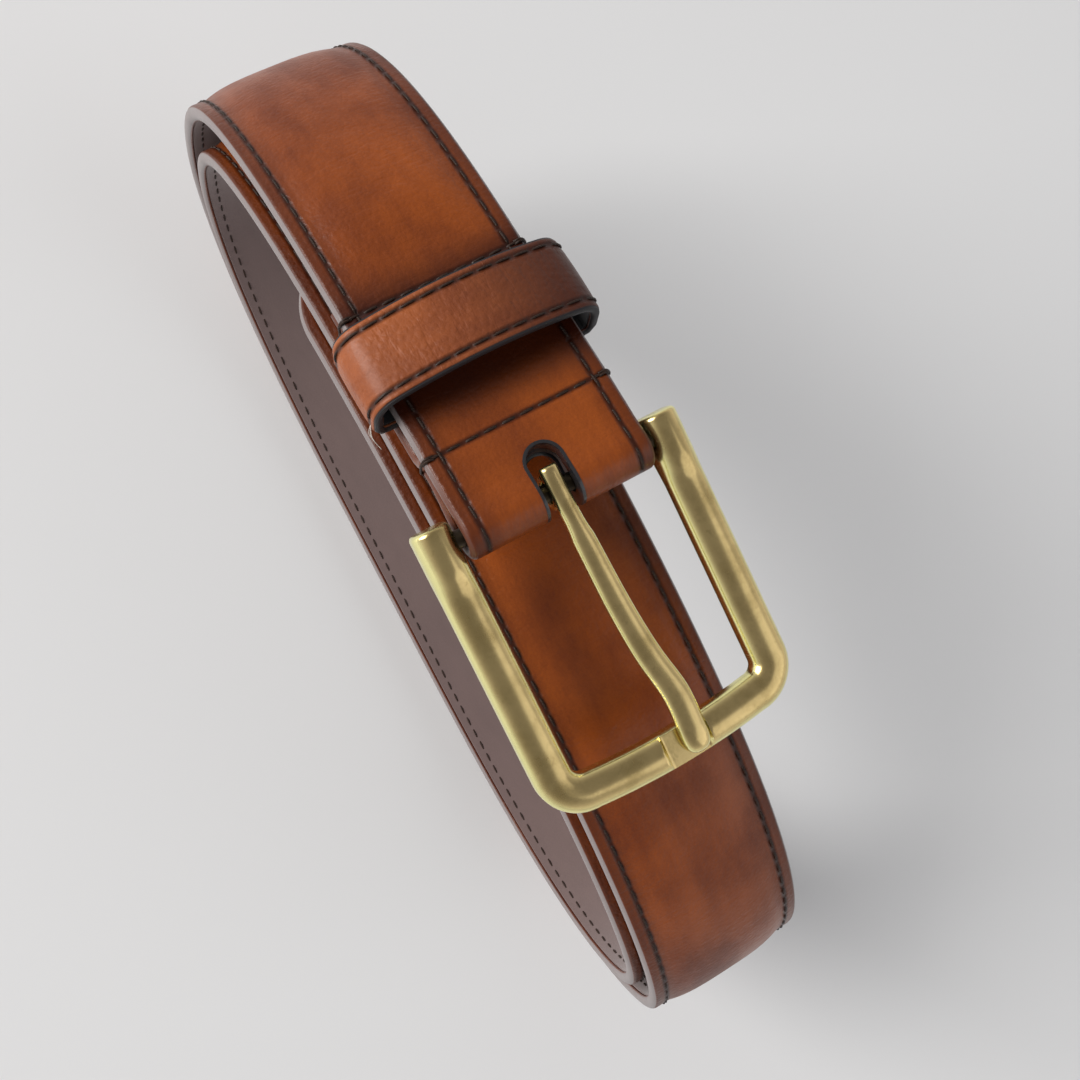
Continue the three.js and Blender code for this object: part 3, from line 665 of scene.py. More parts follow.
def grain_group():
    """Hide of a smooth, waxed leather: pebbles, pores, creases and burnished clouds."""
    tree, entry, leave = new_group(
        "Leather Hide",
        (("Place", "NodeSocketVector", None), ("Pebbles", "NodeSocketFloat", 900.0)),
        (
            ("Tone", "NodeSocketFloat"),
            ("Height", "NodeSocketFloat"),
            ("Pores", "NodeSocketFloat"),
        ),
    )
    place = entry.outputs["Place"]
    cells = add_node(tree, "ShaderNodeTexVoronoi", (-900, 300), feature="F1")
    tree.links.new(place, cells.inputs["Vector"])
    tree.links.new(entry.outputs["Pebbles"], cells.inputs["Scale"])
    wobble = noise(tree, (-900, 100), place, 420.0, 4.0, 0.6)
    pores = noise(tree, (-900, -100), place, 2600.0, 3.0, 0.65)
    crease_place = stretched(tree, (-1050, -300), place, (1.0, 0.22, 1.0))
    creases = noise(tree, (-900, -300), crease_place, 520.0, 3.0, 0.55)
    clouds = noise(tree, (-900, -500), place, 52.0, 5.0, 0.58)
    streak_place = stretched(tree, (-1050, -700), place, (0.28, 1.0, 1.0))
    streaks = noise(tree, (-900, -700), streak_place, 170.0, 4.0, 0.6)

    pebble = range_node(tree, (-650, 300), cells.outputs["Distance"], 0.15, 0.75, 1.0, 0.0)
    crease = range_node(tree, (-650, -300), creases, 0.36, 0.5)
    height = math_node(tree, (-400, 200), "MULTIPLY", pebble, 0.5)
    height = math_node(tree, (-250, 200), "ADD", height, wobble)
    fine = math_node(tree, (-400, 0), "MULTIPLY", pores, 0.55)
    height = math_node(tree, (-100, 150), "ADD", height, fine)
    deep = math_node(tree, (-400, -250), "MULTIPLY", crease, 0.45)
    height = math_node(tree, (50, 100), "ADD", height, deep)

    cloud = range_node(tree, (-650, -500), clouds, 0.3, 0.7)
    streak = range_node(tree, (-650, -700), streaks, 0.3, 0.72)
    tone = math_node(tree, (-400, -500), "MULTIPLY", cloud, 0.42)
    part = math_node(tree, (-400, -700), "MULTIPLY", streak, 0.26)
    tone = math_node(tree, (-250, -550), "ADD", tone, part)
    speck = math_node(tree, (-400, -850), "MULTIPLY", pores, 0.4)
    tone = math_node(tree, (-100, -600), "ADD", tone, speck)
    tree.links.new(tone, leave.inputs["Tone"])
    tree.links.new(height, leave.inputs["Height"])
    tree.links.new(pores, leave.inputs["Pores"])
    return tree


def seam_group():
    """A row of stitches pressed into leather: a soft groove with a pit at each needle hole."""
    tree, entry, leave = new_group(
        "Stitched Seam",
        (
            ("Off", "NodeSocketFloat", 0.0),
            ("Along", "NodeSocketFloat", 0.0),
            ("Pitch", "NodeSocketFloat", 0.0034),
            ("Half Width", "NodeSocketFloat", 0.0009),
        ),
        (("Groove", "NodeSocketFloat"), ("Pit", "NodeSocketFloat")),
    )
    off = math_node(tree, (-900, 200), "ABSOLUTE", entry.outputs["Off"])
    share = math_node(tree, (-700, 200), "DIVIDE", off, entry.outputs["Half Width"])
    groove = range_node(tree, (-500, 200), share, 0.15, 1.0, 1.0, 0.0)
    turns = math_node(tree, (-900, -100), "DIVIDE", entry.outputs["Along"], entry.outputs["Pitch"])
    cycle = math_node(tree, (-700, -100), "FRACT", turns)
    swing = math_node(tree, (-550, -100), "SUBTRACT", cycle, 0.5)
    near = math_node(tree, (-400, -100), "ABSOLUTE", swing)
    ring = range_node(tree, (-250, -100), near, 0.3, 0.5)
    pit = math_node(tree, (0, 0), "MULTIPLY", ring, groove)
    tree.links.new(groove, leave.inputs["Groove"])
    tree.links.new(pit, leave.inputs["Pit"])
    return tree


def patina_group():
    """Satin brass with age: clouds of tarnish, fine brushing and small pits."""
    tree, entry, leave = new_group(
        "Aged Metal",
        (("Place", "NodeSocketVector", None),),
        (("Tarnish", "NodeSocketFloat"), ("Height", "NodeSocketFloat")),
    )
    place = entry.outputs["Place"]
    clouds = noise(tree, (-900, 300), place, 150.0, 6.0, 0.62)
    spots = noise(tree, (-900, 100), place, 900.0, 4.0, 0.7)
    brush_place = stretched(tree, (-1050, -150), place, (0.12, 1.0, 1.0))
    brush = noise(tree, (-900, -150), brush_place, 3200.0, 2.0, 0.5)
    cloud = range_node(tree, (-600, 300), clouds, 0.38, 0.72, 0.0, 0.45)
    spot = range_node(tree, (-600, 100), spots, 0.55, 0.8)
    part = math_node(tree, (-350, 100), "MULTIPLY", spot, 0.35)
    tarnish = math_node(tree, (-150, 250), "ADD", cloud, part, clamp=True)
    height = math_node(tree, (-150, -100), "ADD", brush, spots)
    tree.links.new(tarnish, leave.inputs["Tarnish"])
    tree.links.new(height, leave.inputs["Height"])
    return tree


GROUP_MAKERS = {
    "Leather Hide": grain_group,
    "Stitched Seam": seam_group,
    "Aged Metal": patina_group,
}


def place_group(tree, name, place):
    """A node of one of the shared groups, which is built the first time it is asked for."""
    node = tree.nodes.new("ShaderNodeGroup")
    node.node_tree = bpy.data.node_groups.get(name) or GROUP_MAKERS[name]()
    node.location = place
    return node


# ---------------------------------------------------------------- materials


def new_material(name, constants):
    """A material with its Principled shader, whose constants are set on its own sockets."""
    material = bpy.data.materials.new(name)
    material.use_nodes = True
    tree = material.node_tree
    tree.nodes.clear()
    output = add_node(tree, "ShaderNodeOutputMaterial", (900, 0))
    principled = add_node(tree, "ShaderNodeBsdfPrincipled", (600, 0))
    for label, value in constants.items():
        principled.inputs[label].default_value = value
    tree.links.new(principled.outputs[0], output.inputs[0])
    return material, tree, principled


def add_bump(tree, shader, place, height, strength, distance):
    bump = add_node(tree, "ShaderNodeBump", place)
    bump.inputs["Strength"].default_value = strength
    bump.inputs["Distance"].default_value = distance
    tree.links.new(height, bump.inputs["Height"])
    tree.links.new(bump.outputs[0], shader.inputs["Normal"])


# Share of the pale edge colour left at the fold, how dark the painted shade in the seams' grooves
# is, and how deep seams and needle holes are pressed.
FOLD_EDGE_SHARE = 0.12
SEAM_SHADE = 0.9
SEAM_DEPTH = 1.7
NEEDLE_DEPTH = 1.0
PAINT_BLEND = 0.12 * MM


def flat_place(tree, place):
    return add_node(tree, "ShaderNodeAttribute", place, attribute_name="unrolled")


def leather(name, light, dark, paint, edge, rows, burnish_and_shade, pale_edge_fade, pebbles, gloss, bump):
    """Stitched leather on flat places: its hide, its edge colour and its seams, with painted sheen
    and painted shade in its colour.

    edge is the place across where the edge colour begins, and rows are seams, each given as
    (axis across the seam, its place, whether the seam is on both sides). The darkened zones,
    burnished borders and painted shade, are given as (axis, light end, dark end, where it is
    light again or None, share).
    The place where the pale edge colour fades out and where it is whole again is given as a pair,
    or None.
    """
    dull = {"Coat Roughness": 0.25, "Specular IOR Level": 0.3}
    material, tree, shader = new_material(name, dull)
    flat = flat_place(tree, (-1900, 0))
    axes = add_node(tree, "ShaderNodeSeparateXYZ", (-1700, -300))
    tree.links.new(flat.outputs["Vector"], axes.inputs[0])
    hide = place_group(tree, "Leather Hide", (-1500, 200))
    tree.links.new(flat.outputs["Vector"], hide.inputs["Place"])
    hide.inputs["Pebbles"].default_value = pebbles

    across = math_node(tree, (-1500, -300), "ABSOLUTE", axes.outputs["Y"])
    painted = range_node(tree, (-1300, -300), across, edge - PAINT_BLEND, edge + PAINT_BLEND)
    groove = pit = None
    for index, (axis, row, mirrored) in enumerate(rows):
        y = -520 - 220 * index
        off = across if mirrored else axes.outputs[axis]
        off = math_node(tree, (-1300, y), "SUBTRACT", off, row)
        seam = place_group(tree, "Stitched Seam", (-1100, y))
        tree.links.new(off, seam.inputs["Off"])
        tree.links.new(axes.outputs["X" if axis == "Y" else "Y"], seam.inputs["Along"])
        seam.inputs["Pitch"].default_value = bpy.context.scene.belt_strap.stitch_pitch
        if groove is None:
            groove, pit = seam.outputs["Groove"], seam.outputs["Pit"]
        else:
            groove = math_node(tree, (-900, y), "MAXIMUM", groove, seam.outputs["Groove"])
            pit = math_node(tree, (-900, y - 80), "MAXIMUM", pit, seam.outputs["Pit"])

    base = mix_colours(tree, (-900, 300), hide.outputs["Tone"], dark, light)
    # Colour that the burnished borders and the painted shade darken the hide towards.
    burnish_and_shade_tone = tuple(channel * part for channel, part in zip(dark, (0.3, 0.2, 0.2)))
    for index, (axis, pale, deep, again, share) in enumerate(burnish_and_shade):
        y = 700 + 220 * index
        value = across if axis == "Y" else axes.outputs["X"]
        burnish_and_shade_mask = range_node(tree, (-1300, y), value, pale, deep, 0.0, share)
        if again:
            back = range_node(tree, (-1300, y - 100), value, *again, share, 0.0)
            burnish_and_shade_mask = math_node(tree, (-1100, y), "MINIMUM", burnish_and_shade_mask, back)
        base = mix_colours(tree, (-900, y), burnish_and_shade_mask, base, burnish_and_shade_tone)
    # Painted shade: the seams' grooves are darkened towards a deep brown.
    shade = math_node(tree, (-700, -250), "MULTIPLY", groove, SEAM_SHADE)
    pressed = tuple(channel * 0.22 for channel in dark)
    base = mix_colours(tree, (-500, 250), shade, base, pressed)
    # Towards the fold the pale edge colour, a painted sheen, fades down to a small share of it.
    if pale_edge_fade:
        along = axes.outputs["X"]
        whole = range_node(tree, (-700, -60), along, *pale_edge_fade, FOLD_EDGE_SHARE, 1.0)
        cover = math_node(tree, (-500, 60), "MULTIPLY", painted, whole)
    else:
        cover = painted
    # On the strap the pale edge colour is a painted sheen on the glossy edge.
    base = mix_colours(tree, (-300, 200), cover, base, paint)
    tree.links.new(base, shader.inputs["Base Color"])

    rough = range_node(tree, (-700, 0), hide.outputs["Tone"], 0.1, 0.9, gloss + 0.1, gloss - 0.04)
    tree.links.new(rough, shader.inputs["Roughness"])
    coat = range_node(tree, (-700, -120), hide.outputs["Tone"], 0.2, 0.9, 0.04, 0.16)
    bare = math_node(tree, (-500, -350), "SUBTRACT", 1.0, groove)
    coat = math_node(tree, (-300, -350), "MULTIPLY", coat, bare)
    tree.links.new(coat, shader.inputs["Coat Weight"])

    plain = math_node(tree, (-500, -100), "SUBTRACT", 1.0, painted)
    relief = math_node(tree, (-300, -100), "MULTIPLY", hide.outputs["Height"], plain)
    dent = math_node(tree, (-500, -450), "MULTIPLY", groove, SEAM_DEPTH)
    hollow = math_node(tree, (-500, -600), "MULTIPLY", pit, NEEDLE_DEPTH)
    relief = math_node(tree, (-100, -250), "SUBTRACT", relief, dent)
    relief = math_node(tree, (50, -300), "SUBTRACT", relief, hollow)
    add_bump(tree, shader, (300, -250), relief, 0.9, bump)
    return material


def strap_leather(scene):
    strap = scene.belt_strap
    tones = scene.belt_colours
    half = strap.width / 2
    rows = (
        ("Y", half - strap.stitch_inset, True),
        ("X", scene.belt_coil.front_row, False),
        ("X", scene.belt_coil.rear_row, False),
    )
    # The pale edge colour, a painted sheen, begins halfway round the edge's rounding, so it shows
    # mostly on the steep outer side.
    edge = half - strap.nose * 0.5
    coil = scene.belt_coil
    # The first zone burnishes the borders along the whole strap. The second is painted shade: the
    # shadow of the keeper and of the layers round it, painted onto the doubled end from just past
    # the front row to beyond the rear row.
    burnish_and_shade = (
        ("Y", half * 0.6, half, None, 0.6),
        (
            "X",
            coil.front_row + 0.5 * MM,
            scene.belt_keeper.centre - 7 * MM,
            (coil.rear_row - 2 * MM, coil.turn_back + 3 * MM),
            0.85,
        ),
    )
    return leather(
        "Tan Strap Leather",
        tones.tan,
        tones.brown,
        tones.paint,
        edge,
        rows,
        burnish_and_shade,
        (2 * MM, 20 * MM),
        1100.0,
        0.36,
        0.07 * MM,
    )


def keeper_leather(scene):
    keeper = scene.belt_keeper
    tones = scene.belt_colours
    rows = (("Y", keeper.width / 2 - keeper.stitch_inset, True),)
    edge = keeper.width / 2 - 0.45 * MM
    around = keeper_round(scene)
    # Painted shade: the keeper is darkened along the low part of its unrolled length, its side
    # turned away from the light.
    burnish_and_shade = (("X", 0.6 * around, 0.3 * around, None, 0.88),)
    return leather(
        "Keeper Leather",
        tones.keeper,
        tones.keeper_brown,
        tones.dark_paint_and_shade,
        edge,
        rows,
        burnish_and_shade,
        None,
        950.0,
        0.5,
        0.13 * MM,
    )


def lining_leather(name, colour_value, dark):
    """Napped lining: a dry surface with a short pile and faint drag marks."""
    dry = {"Specular IOR Level": 0.25, "Sheen Weight": 0.35, "Sheen Roughness": 0.6}
    material, tree, shader = new_material(name, dry)
    flat = flat_place(tree, (-1400, 0))
    pile = noise(tree, (-1100, 200), flat.outputs["Vector"], 2400.0, 4.0, 0.7)
    drag_place = stretched(tree, (-1250, -50), flat.outputs["Vector"], (0.25, 1.0, 1.0))
    drag = noise(tree, (-1100, -50), drag_place, 420.0, 4.0, 0.6)
    clouds = noise(tree, (-1100, -300), flat.outputs["Vector"], 60.0, 4.0, 0.55)
    tone = math_node(tree, (-800, 100), "MULTIPLY", pile, 0.45)
    part = math_node(tree, (-800, -50), "MULTIPLY", drag, 0.3)
    tone = math_node(tree, (-600, 50), "ADD", tone, part)
    part = math_node(tree, (-800, -300), "MULTIPLY", clouds, 0.4)
    tone = math_node(tree, (-450, 0), "ADD", tone, part, clamp=True)
    base = mix_colours(tree, (-200, 150), tone, dark, colour_value)
    tree.links.new(base, shader.inputs["Base Color"])
    rough = range_node(tree, (-200, -50), tone, 0.2, 0.9, 0.78, 0.92)
    tree.links.new(rough, shader.inputs["Roughness"])
    height = math_node(tree, (-200, -200), "ADD", pile, drag)
    add_bump(tree, shader, (200, -200), height, 0.6, 0.06 * MM)
    return material


def edge_paint(name, colour_value, gloss):
    """Polished edge colour with slight waves and a few specks."""
    material, tree, shader = new_material(name, {"Coat Weight": 0.5, "Coat Roughness": 0.12})
    place = add_node(tree, "ShaderNodeTexCoord", (-1100, 0)).outputs["Object"]
    waves = noise(tree, (-800, 100), place, 260.0, 3.0, 0.5)
    specks = noise(tree, (-800, -100), place, 1900.0, 3.0, 0.6)
    tone = range_node(tree, (-500, 0), specks, 0.52, 0.75)
    dark = tuple(channel * 0.55 for channel in colour_value)
    base = mix_colours(tree, (-200, 100), tone, colour_value, dark)
    tree.links.new(base, shader.inputs["Base Color"])
    rough = range_node(tree, (-200, -50), waves, 0.3, 0.7, gloss, gloss + 0.14)
    tree.links.new(rough, shader.inputs["Roughness"])
    height = math_node(tree, (-200, -200), "ADD", waves, specks)
    add_bump(tree, shader, (200, -200), height, 0.5, 0.05 * MM)
    return material


def thread_material(name, colour_value):
    """Waxed thread: strands that turn round its length."""
    material, tree, shader = new_material(name, {"Specular IOR Level": 0.3})
    place = add_node(tree, "ShaderNodeTexCoord", (-1300, 0)).outputs["Object"]
    turned = add_node(tree, "ShaderNodeMapping", (-1100, 0), rotation=(0.5, 0.6, 0.7))
    tree.links.new(place, turned.inputs["Vector"])
    strands = add_node(
        tree, "ShaderNodeTexWave", (-800, 100), bands_direction="X", scale=900.0, distortion=1.5
    )
    tree.links.new(turned.outputs[0], strands.inputs["Vector"])
    fuzz = noise(tree, (-800, -150), place, 3000.0, 3.0, 0.6)
    light = tuple(min(1.0, channel * 2.2) for channel in colour_value)
    tone = math_node(tree, (-500, 0), "MULTIPLY", strands.outputs["Fac"], fuzz)
    base = mix_colours(tree, (-250, 100), tone, colour_value, light)
    tree.links.new(base, shader.inputs["Base Color"])
    rough = range_node(tree, (-250, -50), fuzz, 0.3, 0.7, 0.42, 0.65)
    tree.links.new(rough, shader.inputs["Roughness"])
    height = math_node(tree, (-250, -200), "ADD", strands.outputs["Fac"], fuzz)
    add_bump(tree, shader, (200, -200), height, 0.7, 0.08 * MM)
    return material


def metal(name, bright, dull, gloss, bump):
    """Satin cast metal, duller where it has tarnished, with a painted highlight that brightens its
    sloping sides.
    """
    material, tree, shader = new_material(name, {"Metallic": 1.0})
    places = add_node(tree, "ShaderNodeTexCoord", (-1200, 0))
    aged = place_group(tree, "Aged Metal", (-900, 0))
    tree.links.new(places.outputs["Object"], aged.inputs["Place"])
    base = mix_colours(tree, (-400, 100), aged.outputs["Tarnish"], bright, dull)
    # Painted highlight: the steeper the surface, the brighter its colour, for the light caught
    # along the sides.
    slope = add_node(tree, "ShaderNodeSeparateXYZ", (-1000, 350))
    tree.links.new(places.outputs["Normal"], slope.inputs[0])
    level = math_node(tree, (-800, 350), "ABSOLUTE", slope.outputs["Z"])
    lit_sides = range_node(tree, (-600, 350), level, 0.93, 0.5, 0.0, 0.8)
    lit_side_tone = tuple(min(1.0, channel * 1.7 + 0.05) for channel in bright)
    base = mix_colours(tree, (-200, 200), lit_sides, base, lit_side_tone)
    tree.links.new(base, shader.inputs["Base Color"])
    rough = range_node(
        tree, (-400, -100), aged.outputs["Tarnish"], 0.0, 1.0, gloss, gloss + 0.14
    )
    tree.links.new(rough, shader.inputs["Roughness"])
    add_bump(tree, shader, (200, -200), aged.outputs["Height"], 0.35, bump)
    return material


def named_material(name, maker, *values):
    """A shared material, made the first time a piece asks for it."""
    return bpy.data.materials.get(name) or maker(*values)


def dark_thread(scene):
    return named_material("Dark Thread", thread_material, "Dark Thread", scene.belt_colours.thread)


def antique_brass(scene):
    tones = scene.belt_colours
    return named_material(
        "Antique Brass", metal, "Antique Brass", tones.brass, tones.patina, 0.22, 0.01 * MM
    )


def dark_edge(scene):
    tones = scene.belt_colours
    return named_material(
        "Dark Edge Paint", edge_paint, "Dark Edge Paint", tones.dark_paint_and_shade, 0.3
    )


# ---------------------------------------------------------------- the strap, drawn flat


def band_outline(half, height, pocket_half, pocket_up, nose, shoulders):
    """Half-round edges, a level top with points at the shoulders, and a pocket below."""
    steps = 9
    right = [(pocket_half, pocket_up), (pocket_half, 0.08 * height)]
    for i in range(steps + 1):
        angle = math.radians(-72 + 162 * i / steps)
        right.append(
            (half - nose + nose * math.cos(angle), height / 2 * (1 + math.sin(angle)))
        )
    right += [(across, height) for across in shoulders]
    left = [(-across, up) for across, up in reversed(right)]
    return right + [(0.0, height)] + left


def half_at(strap, s):
    """Half the strap's width, which closes in an ellipse at the tip."""
    into = ramp(s, strap.long - strap.tip, strap.long + 0.02 * strap.tip)
    return strap.width / 2 * math.sqrt(1 - into * into)


def crown_at(strap, coil, s, across):
    """Height of the padded middle above the border."""
    inside = strap.width / 2 - strap.border
    share = min(1.0, abs(across) / inside)
    start = ease(s, coil.turn_back - 3 * MM, coil.turn_back + 14 * MM)
    end = 1 - ease(s, strap.long - strap.tip - 8 * MM, strap.long - strap.tip)
    return strap.crown * start * end * (1 - share**3.6)


def pinch_at(coil, s):
    """How far the two cross rows press the face in."""
    depth, spread = 0.28 * MM, 1.5 * MM
    rows = (coil.front_row, coil.rear_row)
    return sum(depth * math.exp(-(((s - row) / spread) ** 2)) for row in rows)


def shape_strap(piece, scene, origin, crowned=True):
    """Skives the fold, raises the padding, rounds the tip and lets the tail creep aside."""
    strap, coil = scene.belt_strap, scene.belt_coil
    half = strap.width / 2
    for vertex in piece.data.vertices:
        x, across, up = vertex.co
        s = x - origin
        on_top = up > 0.9 * strap.edge
        up *= strap.skived + (1 - strap.skived) * ramp(s, 4 * MM, 12 * MM)
        if crowned and on_top:
            up += crown_at(strap, coil, s, across) - pinch_at(coil, s)
        margin = half - abs(across)
        inside = max(0.0, half_at(strap, s) - margin)
        thin = math.sqrt(max(0.0, 1 - ramp(s, strap.long - 1.6 * MM, strap.long) ** 2))
        up = strap.edge / 2 + (up - strap.edge / 2) * max(0.25, thin)
        creep = strap.drift * ramp(s, strap.long / 2, strap.long)
        vertex.co = (x, math.copysign(inside, across) + creep, up)


def strap_stretches(scene, origin, start=0.0):
    """Facet lengths along the strap: fine at the fold and the tip, coarser on the coil."""
    strap, coil = scene.belt_strap, scene.belt_coil
    return [
        (start, 0),
        (origin - 14 * MM, 0.8 * MM),
        (origin + 6 * MM, 0.5 * MM),
        (origin + coil.turn_back, 1.0 * MM),
        (origin + coil.turn_back + 16 * MM, 1.6 * MM),
        (origin + strap.long - strap.tip, 2.2 * MM),
        (origin + strap.long - 2 * MM, 0.8 * MM),
        (origin + strap.long, 0.25 * MM),
    ]


def slot_ends(scene, origin):
    """Start and end of the prong's slot on the flat strap."""
    reach = scene.belt_strap.slot_rear
    start = origin - math.pi * scene.belt_coil.fold - reach
    return start, origin + reach


# Share of half a block's width that its bevel takes; at 1 its two rounds would merge.
FULL_ROUND = 0.999


def rounded_block(name, start, end, width, low, high):
    """A block with half-round ends, from a cube whose upright edges are bevelled."""
    deselect()
    bpy.ops.mesh.primitive_cube_add(size=1)
    block = call_piece(name)
    size = (end - start, width, high - low)
    middle = ((start + end) / 2, 0, (low + high) / 2)
    matrix = Matrix.Translation(middle) @ Matrix.Diagonal((*size, 1))
    turn_and_place(block, matrix)
    bpy.ops.object.mode_set(mode="EDIT")
    bpy.ops.mesh.select_mode(type="EDGE")
    bpy.ops.mesh.select_all(action="DESELECT")
    mesh = bmesh.from_edit_mesh(block.data)
    for edge in mesh.edges:
        first, second = edge.verts
        upright = abs(first.co.z - second.co.z) > (high - low) / 2
        edge.select_set(upright)
    bmesh.update_edit_mesh(block.data)
    bpy.ops.mesh.bevel(offset=width / 2 * FULL_ROUND, segments=10, affect="EDGES")
    bpy.ops.object.mode_set(mode="OBJECT")
    return block


def strap_punches(scene, origin):
    """The slot's and the holes' cutters, as one piece."""
    strap = scene.belt_strap
    start, end = slot_ends(scene, origin)
    punches = [rounded_block("punch", start, end, strap.slot, -2 * MM, 8 * MM)]
    for i in range(strap.hole_count):
        deselect()
        place = origin + strap.long - strap.first_hole - i * strap.hole_pitch
        bpy.ops.mesh.primitive_cylinder_add(
            vertices=32, radius=strap.hole / 2, depth=14 * MM, location=(place, 0, 2 * MM)
        )
        bpy.ops.object.transform_apply(location=True)
        punches.append(bpy.context.object)
    return join("punches", punches)


def make_strap_layer(scene, name, outline, crowned):
    """One layer of the strap: flat, punched, shaped and bent along the route."""
    knots, origin = strap_route(scene)
    layer = flat_band(name, outline, strap_stretches(scene, origin))
    punches = strap_punches(scene, origin)
    apply_modifier(layer, "BOOLEAN", object=punches, operation="DIFFERENCE", solver="EXACT")
    remove(punches)
    keep_flat_place(layer, origin)
    shape_strap(layer, scene, origin, crowned)
    route = draw_route("strap_route", knots)
    bend_along(layer, route)
    remove(route)
    smooth(layer, 38)
    return layer


class BELT_OT_face(bpy.types.Operator):
    """Add the padded leather face with its polished edges"""

    bl_idname = "belt.add_face"
    bl_label = "Strap Face"

    def execute(self, context):
        scene = context.scene
        strap = scene.belt_strap
        half = strap.width / 2
        inside = half - strap.border
        shoulders = [inside * share for share in (1.0, 0.93, 0.84, 0.72, 0.56, 0.38, 0.2)]
        outline = band_outline(
            half, strap.edge, half - strap.nose, strap.lining, strap.nose, shoulders
        )
        face = make_strap_layer(scene, "belt_face", outline, True)
        material = strap_leather(scene)
        finish_piece(face, material, "strap", "tan_leather", "strap_face", "strap_padding")
        return {"FINISHED"}


class BELT_OT_lining(bpy.types.Operator):
    """Add the lining inside the polished edges"""

    bl_idname = "belt.add_lining"
    bl_label = "Strap Lining"

    def execute(self, context):
        scene = context.scene
        strap = scene.belt_strap
        half = strap.width / 2 - strap.nose - 0.02 * MM
        top = strap.lining - 0.03 * MM
        soft = 0.12 * MM
        right = [(half, top), (half, soft), (half - soft, 0.0)]
        right += [(half * share, 0.0) for share in (0.8, 0.5, 0.2)]
        outline = right + [(-across, up) for across, up in reversed(right)]
        lining = make_strap_layer(scene, "belt_lining", outline, False)
        tone = scene.belt_colours.lining
        dark = tuple(channel * 0.55 for channel in tone)
        material = lining_leather("Napped Lining", tone, dark)
        finish_piece(lining, material, "strap", "lining_leather", "strap_lining")
        return {"FINISHED"}


# ---------------------------------------------------------------- stitching


def stitch(scene, name, size=1.0):
    """One slanted stitch along X, whose ends dip into the leather."""
    strap = scene.belt_strap
    radius = strap.thread / 2 * size
    run = strap.stitch_pitch * 0.94
    deselect()
    bpy.ops.mesh.primitive_cylinder_add(
        vertices=8, radius=radius, depth=run, rotation=(0, math.pi / 2, 0)
    )
    bpy.ops.object.transform_apply(rotation=True)
    piece = call_piece(name)
    bpy.ops.object.mode_set(mode="EDIT")
    cut_across(piece, 0, -run / 2, run / 2, 4)
    bpy.ops.object.mode_set(mode="OBJECT")
    for vertex in piece.data.vertices:
        t = 2 * vertex.co.x / run
        dip = 1.9 * radius * abs(t) ** 3.5
        slim = 1 - 0.3 * t * t
        slant = 0.28 * radius * t
        vertex.co = (vertex.co.x, vertex.co.y * slim + slant, vertex.co.z * slim - dip)
    return piece


def stitch_row(scene, name, start, count, across, up, size=1.0):
    """A straight row of stitches along X."""
    row = stitch(scene, name, size)
    pitch = scene.belt_strap.stitch_pitch
    apply_modifier(
        row,
        "ARRAY",
        count=count,
        use_relative_offset=False,
        use_constant_offset=True,
        constant_offset_displace=(pitch, 0, 0),
    )
    turn_and_place(row, Matrix.Translation((start + pitch / 2, across, up)))
    return row


class BELT_OT_edge_stitching(bpy.types.Operator):
    """Add the stitch rows along both borders, on the face and on the lining"""

    bl_idname = "belt.add_edge_stitching"
    bl_label = "Edge Stitching"

    def execute(self, context):
        scene = context.scene
        strap = scene.belt_strap
        knots, origin = strap_route(scene)
        inset = strap.width / 2 - strap.stitch_inset
        up = strap.edge + 0.04 * MM
        pitch = strap.stitch_pitch
        last = strap.long - 5 * MM
        around = 4.5 * MM
        lead = round(around / pitch) * pitch
        rows = (
            ("edge_stitches_left", inset, up, -lead, "edge_thread_left"),
            ("edge_stitches_right", -inset, up, -lead, "edge_thread_right"),
            ("lining_stitches_left", inset, -0.02 * MM, None, "lining_thread_left"),
            ("lining_stitches_right", -inset, -0.02 * MM, None, "lining_thread_right"),
        )
        route = draw_route("strap_route", knots)
        for name, across, height, start, node in rows:
            if start is None:
                start = math.ceil(scene.belt_coil.turn_back / pitch + 1) * pitch
            count = int((last - start) / pitch)
            row = stitch_row(scene, name, origin + start, count, across, height)
            if height < 0:
                turn_and_place(row, Matrix.Diagonal((1, 1, -1, 1)))
                point_normals_out(row)
            shape_strap(row, scene, origin, False)
            bend_along(row, route)
            smooth(row, 60)
            finish_piece(row, dark_thread(scene), "strap", "thread", node)
        remove(route)
        return {"FINISHED"}


